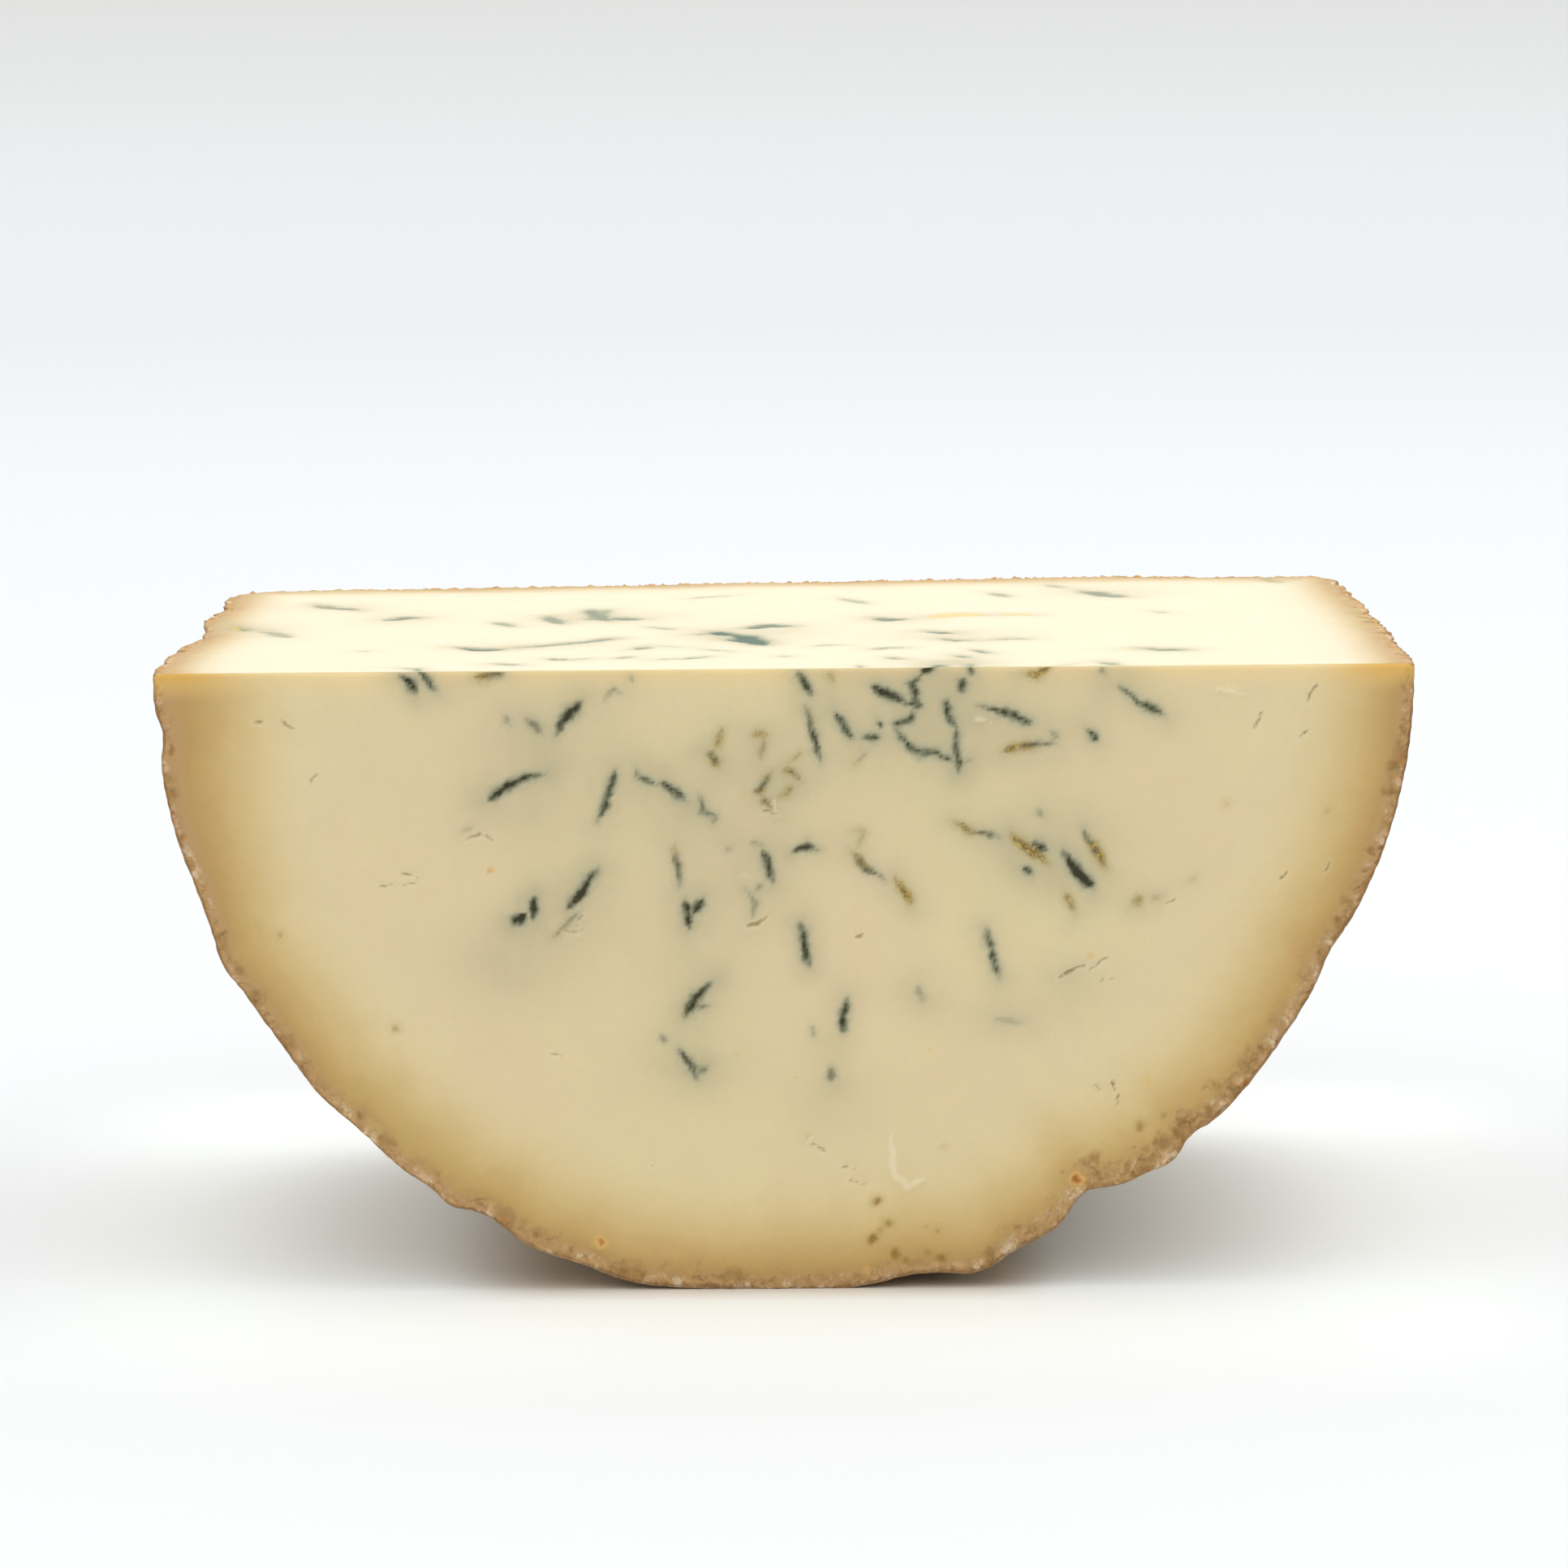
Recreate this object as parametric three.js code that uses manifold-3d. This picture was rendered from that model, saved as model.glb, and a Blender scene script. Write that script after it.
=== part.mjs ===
// Half of a blue cheese wheel with its natural rind, in millimetres.
//
// A tall round wheel was cut in half down its axis and then cut across. The piece keeps two flat
// cut faces, a long one that faces up and a half-round one that faces the front. It stands on
// its curved side, which has settled into a narrow flat foot. Its far end is the end of the wheel.
//
// Frame: X along the edge between the two cuts, Y from the front cut back to the wheel's end,
// Z up. The origin is on the foot, under the middle of the piece.

import * as THREE from "three";
import { mergeVertices } from "three/addons/utils/BufferGeometryUtils.js";
import Module from "manifold-3d";

const wasm = await Module();
wasm.setup();

// ---- Driving dimensions -----------------------------------------------------------------
const WHEEL_RADIUS = 100; // the whole wheel is about 200 mm across
const DEPTH = 120; // from the front cut to the furthest point of the wheel's end
const AXIS_HEIGHT = 99.5; // the wheel's axis above the foot, after settling
const AXIS_OFFSET = 0.47; // the axis lies this far right of the middle of the piece
const TOP_CUT_HEIGHT = 101.2; // the long cut passes just above the axis
const RIM_RADIUS = 8; // rounded rim between the side and the end
const END_MIDDLE = 54.53; // Y of the middle of the end
const END_LEAN = 0.072; // the end stands further back towards the right, mm per mm of width

const SEGMENTS_ROUND = 240; // steps round the whole wheel
const SIDE_STEP = 9; // longest step along the side
const RIM_STEPS = 5; // steps round the rim
const END_RINGS = [25, 50, 68, 82]; // radii of the rings that shape the end
const CUT_ALLOWANCE = 10; // the wheel runs on past each cut by this much before it is cut
const MERGE_DISTANCE = 1e-4; // corners closer than this are one corner

const QUARTER_TURN = 90; // degrees
const FULL_TURN = 360; // degrees

const FRONT_Y = -DEPTH / 2;

// Swellings and hollows of the side. `angle` runs round the wheel's axis in degrees, from the
// right-hand edge (0) through the foot (90) to the left-hand edge (180). `behind` is the distance
// behind the front cut. `rise` is the height at the middle of the swelling, negative for a
// hollow. `spread` is how far it reaches round the side in degrees, and `reach` along it.
const SIDE_LOBES = [
  { angle: 30, spread: 14, behind: 0, reach: 60, rise: -1.5 },
  { angle: 27, spread: 3, behind: 0, reach: 9, rise: -0.9 },
  { angle: 49, spread: 1.8, behind: 0, reach: 14, rise: -0.9 },
  { angle: 52.2, spread: 1.6, behind: 0, reach: 10, rise: 0.7 },
  { angle: 57, spread: 5, behind: 0, reach: 30, rise: -1.0 },
  { angle: 60.6, spread: 2.7, behind: 0, reach: 20, rise: -2.8 },
  { angle: 72.4, spread: 2.8, behind: 0, reach: 22, rise: 1.7 },
  { angle: 79, spread: 3, behind: 0, reach: 15, rise: -0.7 },
  { angle: 105, spread: 6, behind: 0, reach: 45, rise: 1.6 },
  { angle: 114.5, spread: 3.6, behind: 0, reach: 16, rise: 1.4 },
  { angle: 117.5, spread: 3, behind: 0, reach: 16, rise: -0.4 },
  { angle: 122.6, spread: 1.8, behind: 0, reach: 12, rise: 1.2 },
  { angle: 128, spread: 4.6, behind: 0, reach: 40, rise: 0.9 },
  { angle: 138.5, spread: 4, behind: 0, reach: 25, rise: 0.8 },
  { angle: 153, spread: 2.4, behind: 0, reach: 12, rise: 0.8 },
  { angle: 160.5, spread: 4, behind: 0, reach: 20, rise: -0.5 },
  { angle: 160, spread: 18, behind: 0, reach: 30, rise: 0.7 },
  { angle: 175, spread: 1.8, behind: 0, reach: 10, rise: -0.9 },
  { angle: 180, spread: 5, behind: 14, reach: 12, rise: 0.9 },
  { angle: 180, spread: 9, behind: 51, reach: 14, rise: -2.2 },
  { angle: 172, spread: 6, behind: 82, reach: 12, rise: 0.4 },
  { angle: 178, spread: 8, behind: 104, reach: 26, rise: -1.2 },
  { angle: 4, spread: 10, behind: 104, reach: 42, rise: -3.5 },
  { angle: 16, spread: 8, behind: 70, reach: 16, rise: -0.9 },
  { angle: 40, spread: 10, behind: 92, reach: 22, rise: 0.9 },
  { angle: 66, spread: 7, behind: 64, reach: 18, rise: -1.2 },
  { angle: 114, spread: 7, behind: 88, reach: 20, rise: -1.1 },
  { angle: 136, spread: 8, behind: 68, reach: 18, rise: -1.2 },
  { angle: 152, spread: 7, behind: 98, reach: 16, rise: 0.8 },
];

// Swellings and hollows of the wheel's end, placed by X and Z.
const END_LOBES = [
  { x: -52, z: 66, spread: 24, rise: -1.6 },
  { x: -8, z: 84, spread: 20, rise: 0.7 },
  { x: 18, z: 38, spread: 22, rise: -1.3 },
  { x: 50, z: 56, spread: 20, rise: -1.5 },
  { x: 97, z: 98, spread: 22, rise: -5 },
  { x: -20, z: 22, spread: 14, rise: 0.6 },
];

// ---- Shape of the uncut wheel -------------------------------------------------------------

// A smooth bump, 1 at its middle, for a distance measured in spreads.
const bump = (distance) => Math.exp(-distance * distance);

// The angle of a point round the wheel's axis in degrees, from -90 to 270.
function angleRound(across, above) {
  const angle = THREE.MathUtils.radToDeg(Math.atan2(-above, across));
  return THREE.MathUtils.euclideanModulo(angle + QUARTER_TURN, FULL_TURN) - QUARTER_TURN;
}

// How far the side stands out from a true cylinder at an angle in degrees and a depth in mm.
function sideRise(angle, behind) {
  return SIDE_LOBES.reduce(
    (sum, lobe) =>
      sum +
      lobe.rise * bump((angle - lobe.angle) / lobe.spread) * bump((behind - lobe.behind) / lobe.reach),
    0,
  );
}

// How far the end stands out from a flat end.
function endRise(x, z) {
  return END_LOBES.reduce(
    (sum, lobe) => sum + lobe.rise * bump(Math.hypot(x - lobe.x, z - lobe.z) / lobe.spread),
    0,
  );
}

// Half section of the wheel: radius against distance along the axis, from the hidden front to
// the end. Both ends of the line lie on the axis.
function wheelProfile() {
  const start = FRONT_Y - CUT_ALLOWANCE;
  const sideEnd = END_MIDDLE - RIM_RADIUS;
  const sideSteps = Math.ceil((sideEnd - start) / SIDE_STEP);
  const points = [new THREE.Vector2(0, start)];
  for (let i = 0; i <= sideSteps; i += 1) {
    points.push(new THREE.Vector2(WHEEL_RADIUS, start + ((sideEnd - start) * i) / sideSteps));
  }
  for (let i = 1; i <= RIM_STEPS; i += 1) {
    const turn = ((Math.PI / 2) * i) / RIM_STEPS;
    const radius = WHEEL_RADIUS - RIM_RADIUS * (1 - Math.cos(turn));
    points.push(new THREE.Vector2(radius, sideEnd + RIM_RADIUS * Math.sin(turn)));
  }
  for (const radius of [...END_RINGS].reverse()) points.push(new THREE.Vector2(radius, END_MIDDLE));
  points.push(new THREE.Vector2(0, END_MIDDLE));
  return points;
}

// The wheel as a lathe, with its lobes, its lean and its place above the foot.
function wheelGeometry() {
  const geometry = new THREE.LatheGeometry(wheelProfile(), SEGMENTS_ROUND);
  const position = geometry.attributes.position;
  for (let i = 0; i < position.count; i += 1) {
    const x = position.getX(i);
    const y = position.getY(i);
    const z = position.getZ(i);
    const grow = 1 + sideRise(angleRound(x, z), y - FRONT_Y) / WHEEL_RADIUS;
    const backward = THREE.MathUtils.clamp((y - FRONT_Y) / DEPTH, 0, 1);
    const lean = backward * (END_LEAN * x + endRise(x, z + AXIS_HEIGHT));
    position.setXYZ(i, x * grow + AXIS_OFFSET, y + lean, z * grow + AXIS_HEIGHT);
  }
  return geometry;
}

// ---- Cutting --------------------------------------------------------------------------------

// A closed solid from a geometry, with shared corners merged and empty triangles left out.
function toSolid(geometry) {
  const bare = geometry.clone();
  bare.deleteAttribute("normal");
  bare.deleteAttribute("uv");
  const merged = mergeVertices(bare, MERGE_DISTANCE);
  const corners = [];
  for (let i = 0; i < merged.index.count; i += 3) {
    const [a, b, c] = [0, 1, 2].map((k) => merged.index.getX(i + k));
    if (a !== b && b !== c && c !== a) corners.push(a, b, c);
  }
  return new wasm.Manifold(
    new wasm.Mesh({
      numProp: 3,
      vertProperties: Float32Array.from(merged.attributes.position.array),
      triVerts: Uint32Array.from(corners),
    }),
  );
}

// A block between two corners, as a solid.
function block(low, high) {
  const size = high.clone().sub(low);
  const middle = high.clone().add(low).multiplyScalar(0.5);
  const geometry = new THREE.BoxGeometry(size.x, size.y, size.z);
  geometry.translate(middle.x, middle.y, middle.z);
  return toSolid(geometry);
}

// The piece: the part of the wheel between the foot, the long cut and the front cut.
function cutPiece() {
  const wheel = toSolid(wheelGeometry());
  const far = WHEEL_RADIUS + CUT_ALLOWANCE;
  const kept = block(
    new THREE.Vector3(-far, FRONT_Y, 0),
    new THREE.Vector3(far, DEPTH, TOP_CUT_HEIGHT),
  );
  return wheel.intersect(kept);
}

// A solid as a geometry with flat faces.
function toGeometry(solid) {
  const mesh = solid.getMesh();
  const geometry = new THREE.BufferGeometry();
  geometry.setAttribute("position", new THREE.BufferAttribute(Float32Array.from(mesh.vertProperties), 3));
  geometry.setIndex(new THREE.BufferAttribute(Uint32Array.from(mesh.triVerts), 1));
  geometry.computeVertexNormals();
  return geometry;
}

// ---- Scene graph ------------------------------------------------------------------------------

const cheese = new THREE.MeshStandardMaterial({ color: 0xe6d2a4, roughness: 0.6, metalness: 0 });

const halfWheel = new THREE.Mesh(toGeometry(cutPiece()), cheese);
halfWheel.name = "half_wheel";

const part = new THREE.Group();
part.add(halfWheel);

export default part;
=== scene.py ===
"""Half of a blue cheese wheel with its natural rind: its fine surface, its finishes and its stage.

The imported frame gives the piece's box. Lengths are in millimetres until a mesh, a light or the
camera is made, which is where they become metres.
"""

from __future__ import annotations

import logging
import math
from dataclasses import dataclass, field
from enum import Enum

import bpy
import numpy as np
from mathutils import Matrix, Vector


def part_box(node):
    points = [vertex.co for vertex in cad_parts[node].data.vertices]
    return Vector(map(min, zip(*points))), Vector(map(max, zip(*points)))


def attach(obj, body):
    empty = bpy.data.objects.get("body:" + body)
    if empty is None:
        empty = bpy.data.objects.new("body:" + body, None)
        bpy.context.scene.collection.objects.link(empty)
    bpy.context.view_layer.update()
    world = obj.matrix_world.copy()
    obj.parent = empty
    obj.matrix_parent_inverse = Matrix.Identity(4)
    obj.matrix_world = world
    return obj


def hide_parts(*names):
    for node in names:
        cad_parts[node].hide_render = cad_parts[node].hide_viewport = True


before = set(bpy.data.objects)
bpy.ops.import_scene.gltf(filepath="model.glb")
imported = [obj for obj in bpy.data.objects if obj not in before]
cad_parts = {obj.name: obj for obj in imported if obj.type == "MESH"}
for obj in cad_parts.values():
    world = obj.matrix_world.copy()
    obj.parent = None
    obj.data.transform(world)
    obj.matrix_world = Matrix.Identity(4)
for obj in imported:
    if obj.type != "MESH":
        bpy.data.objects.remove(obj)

log = logging.getLogger("half_wheel")

NODE = "half_wheel"
MM = 0.001
Array = np.ndarray
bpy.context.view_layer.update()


# ---- Numbers that vary smoothly over space ---------------------------------------------------


def smooth_step(low: float, high: float, value: Array) -> Array:
    """Rise smoothly from 0 at low to 1 at high.

    Args:
        low: where the step starts.
        high: where the step ends.
        value: the numbers to step.

    Returns:
        The stepped numbers, each between 0 and 1.
    """
    share = np.clip((value - low) / (high - low), 0.0, 1.0)
    return share * share * (3.0 - 2.0 * share)


def bump(distance: Array) -> Array:
    """Give a smooth bump, 1 at its middle, for a distance measured in spreads."""
    return np.exp(-distance * distance)


class Grain:
    """Smooth random numbers over space, the same on every run."""

    SIZE = 1024  # cells of the lattice before it repeats
    STRENGTH = 1.5  # brings the numbers to about -0.7 to 0.7
    OCTAVE_SHIFT = 37.3  # keeps the sizes of a fractal grain apart

    def __init__(self, seed: int) -> None:
        """Shuffle the lattice.

        Args:
            seed: picks one of the possible lattices.
        """
        rng = np.random.default_rng(seed)
        self.shuffle = rng.permutation(self.SIZE)
        slopes = rng.normal(size=(self.SIZE, 3))
        self.slopes = slopes / np.linalg.norm(slopes, axis=1, keepdims=True)

    def at(self, points: Array, size: float | tuple[float, float, float], shift: float = 0.0) -> Array:
        """Read the grain at some points.

        Args:
            points: one row of x, y, z for each point.
            size: distance from crest to crest, one number or one for each axis.
            shift: moves the grain, so that two patterns of one grain differ.

        Returns:
            One number for each point, mostly between -0.7 and 0.7.
        """
        place = (points + shift) / (np.asarray(size) / 2.0)
        corner = np.floor(place).astype(np.int64)
        inside = place - corner
        ease = inside**3 * (inside * (inside * 6.0 - 15.0) + 10.0)
        total = np.zeros(len(points))
        for step in np.ndindex(2, 2, 2):
            cell = (corner + step) & (self.SIZE - 1)
            pick = self.shuffle[cell[:, 0]]
            for axis in (1, 2):
                pick = self.shuffle[(pick + cell[:, axis]) % self.SIZE]
            slope = np.einsum("ij,ij->i", self.slopes[pick], inside - step)
            weight = np.prod(np.where(step, ease, 1.0 - ease), axis=1)
            total += weight * slope
        return total * self.STRENGTH

    def fractal(self, points: Array, size: float, octaves: int, gain: float, shift: float) -> Array:
        """Add up finer and finer grain.

        Args:
            points: one row of x, y, z for each point.
            size: of the coarsest grain.
            octaves: how many sizes of grain to add, each half the last.
            gain: the strength of each size against the one before.
            shift: moves the grain, so that two patterns of one grain differ.

        Returns:
            One number for each point.
        """
        total = np.zeros(len(points))
        for octave in range(octaves):
            total += gain**octave * self.at(points, size / 2**octave, shift + self.OCTAVE_SHIFT * octave)
        return total


# ---- The smooth shape, as the construction model has it --------------------------------------


@dataclass(frozen=True)
class Lobe:
    """A swelling or hollow of the wheel's side.

    The angle runs round the wheel's axis in degrees, from the right-hand edge (0) through the
    foot (90) to the left-hand edge (180), and `behind` is the distance behind the front cut.
    """

    angle: float
    spread: float
    behind: float
    reach: float
    rise: float


@dataclass(frozen=True)
class EndLobe:
    """A swelling or hollow of the wheel's end, placed by x and z."""

    x: float
    z: float
    spread: float
    rise: float


SIDE_LOBES = (
    Lobe(30, 14, 0, 60, -1.5),
    Lobe(27, 3, 0, 9, -0.9),
    Lobe(49, 1.8, 0, 14, -0.9),
    Lobe(52.2, 1.6, 0, 10, 0.7),
    Lobe(57, 5, 0, 30, -1.0),
    Lobe(60.6, 2.7, 0, 20, -2.8),
    Lobe(72.4, 2.8, 0, 22, 1.7),
    Lobe(79, 3, 0, 15, -0.7),
    Lobe(105, 6, 0, 45, 1.6),
    Lobe(114.5, 3.6, 0, 16, 1.4),
    Lobe(117.5, 3, 0, 16, -0.4),
    Lobe(122.6, 1.8, 0, 12, 1.2),
    Lobe(128, 4.6, 0, 40, 0.9),
    Lobe(138.5, 4, 0, 25, 0.8),
    Lobe(153, 2.4, 0, 12, 0.8),
    Lobe(160.5, 4, 0, 20, -0.5),
    Lobe(160, 18, 0, 30, 0.7),
    Lobe(175, 1.8, 0, 10, -0.9),
    Lobe(180, 5, 14, 12, 0.9),
    Lobe(180, 9, 51, 14, -2.2),
    Lobe(172, 6, 82, 12, 0.4),
    Lobe(178, 8, 104, 26, -1.2),
    Lobe(4, 10, 104, 42, -3.5),
    Lobe(16, 8, 70, 16, -0.9),
    Lobe(40, 10, 92, 22, 0.9),
    Lobe(66, 7, 64, 18, -1.2),
    Lobe(114, 7, 88, 20, -1.1),
    Lobe(136, 8, 68, 18, -1.2),
    Lobe(152, 7, 98, 16, 0.8),
)

END_LOBES = (
    EndLobe(-52, 66, 24, -1.6),
    EndLobe(-8, 84, 20, 0.7),
    EndLobe(18, 38, 22, -1.3),
    EndLobe(50, 56, 20, -1.5),
    EndLobe(97, 98, 22, -5),
    EndLobe(-20, 22, 14, 0.6),
)


@dataclass(frozen=True)
class WheelShape:
    """The smooth outer shape of the piece, before its fine surface."""

    front: float
    depth: float
    top: float
    radius: float = 100.0
    axis_x: float = 0.47
    axis_z: float = 99.5
    rim: float = 8.0
    end_middle: float = 54.53
    end_lean: float = 0.072

    OUTLINE_ROUNDS = 5
    QUARTER_TURN = 90.0
    FULL_TURN = 360.0

    @classmethod
    def from_frame(cls) -> WheelShape:
        """Take the cut faces' places from the box of the construction model."""
        low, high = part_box(NODE)
        return cls(low.y / MM, (high.y - low.y) / MM, high.z / MM)

    def side_rise(self, angle: Array, behind: Array) -> Array:
        """Tell how far the side stands out from a true cylinder.

        Args:
            angle: round the axis, in degrees.
            behind: distance behind the front cut.

        Returns:
            The rise at each place.
        """
        return sum(
            lobe.rise * bump((angle - lobe.angle) / lobe.spread) * bump((behind - lobe.behind) / lobe.reach)
            for lobe in SIDE_LOBES
        )

    def outline(self, direction: Array, behind: Array, lathe_radius: Array) -> Array:
        """Find the distance from the middle of the long edge out to the side.

        Args:
            direction: radians down from the right-hand half of the long edge.
            behind: distance behind the front cut.
            lathe_radius: radius of the true wheel there, smaller on its rim.

        Returns:
            The distance in each direction.
        """
        reach = np.array(lathe_radius, float)
        for _ in range(self.OUTLINE_ROUNDS):
            across = reach * np.cos(direction)
            up = self.top - self.axis_z - reach * np.sin(direction)
            angle = np.degrees(np.arctan2(-up, across))
            angle = np.mod(angle + self.QUARTER_TURN, self.FULL_TURN) - self.QUARTER_TURN
            wanted = lathe_radius * (1.0 + self.side_rise(angle, behind) / self.radius)
            reach *= wanted / np.hypot(across, up)
        return reach

    def end_shift(self, x: Array, z: Array, back: Array) -> Array:
        """Tell how far the lean and the lobes of the end move a point back.

        Args:
            x: across, from the middle of the piece.
            z: height above the foot.
            back: the point's own distance along the axis.

        Returns:
            The shift along Y.
        """
        across = x - self.axis_x
        lobes = sum(
            lobe.rise * bump(np.hypot(across - lobe.x, z - lobe.z) / lobe.spread) for lobe in END_LOBES
        )
        return np.clip((back - self.front) / self.depth, 0.0, 1.0) * (self.end_lean * across + lobes)


# ---- Marks on the cut faces ------------------------------------------------------------------


@dataclass(frozen=True)
class Mark:
    """A long mark on a cut face: a vein of mould, a crack or a smear.

    Points are millimetres right of the middle of the piece and away from the long edge, which is
    down on the front cut and back on the long cut. The mark is thickest at the share `thick` of
    its way, and its brownness runs from one end's to the other's.
    """

    points: tuple[tuple[float, float], ...]
    width: float
    dark: float = 1.0
    brown: tuple[float, float] = (0.0, 0.0)
    thick: float = 0.5

    BLUNT = 0.03

    def measure(self, across: Array, away: Array) -> tuple[Array, Array]:
        """Measure how far each place is from the mark's middle line.

        Args:
            across: places, right of the middle.
            away: places, away from the long edge.

        Returns:
            The distance of each place, and the share of the mark's way that it lies beside.
        """
        nodes = np.array(self.points, float)
        lengths = np.hypot(*np.diff(nodes, axis=0).T)
        before = np.concatenate([[0.0], np.cumsum(lengths)])
        near = np.full(len(across), np.inf)
        share = np.zeros(len(across))
        for start, run, length, done in zip(nodes, np.diff(nodes, axis=0), lengths, before):
            along = ((across - start[0]) * run[0] + (away - start[1]) * run[1]) / length**2
            along = np.clip(along, 0.0, 1.0)
            gap = np.hypot(across - start[0] - along * run[0], away - start[1] - along * run[1])
            closer = gap < near
            near = np.where(closer, gap, near)
            share = np.where(closer, (done + along * length) / before[-1], share)
        return near, share

    def half_width(self, share: Array) -> Array:
        """Give the mark's half width, which thins towards both ends, at a share of its way."""
        side = np.where(share < self.thick, self.thick, 1.0 - self.thick)
        return self.width * np.sqrt(np.clip(1.0 - ((share - self.thick) / side) ** 2, self.BLUNT, 1.0))


@dataclass(frozen=True)
class Spot:
    """A round mark on a cut face, placed like a long mark's points."""

    across: float
    away: float
    radius: float
    strength: float = 1.0

    def cover(self, across: Array, away: Array) -> Array:
        """Tell how strongly the spot covers each place, 1 at its middle."""
        return self.strength * bump(np.hypot(across - self.across, away - self.away) / self.radius)


@dataclass(frozen=True)
class Bloom:
    """A wide, soft grey-green stain in the paste round a group of veins."""

    across: float
    away: float
    wide: float
    high: float
    strength: float

    def cover(self, across: Array, away: Array) -> Array:
        """Tell how strongly the stain covers each place, 1 at its middle."""
        distance = np.hypot((across - self.across) / self.wide, (away - self.away) / self.high)
        return self.strength * bump(distance)


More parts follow.
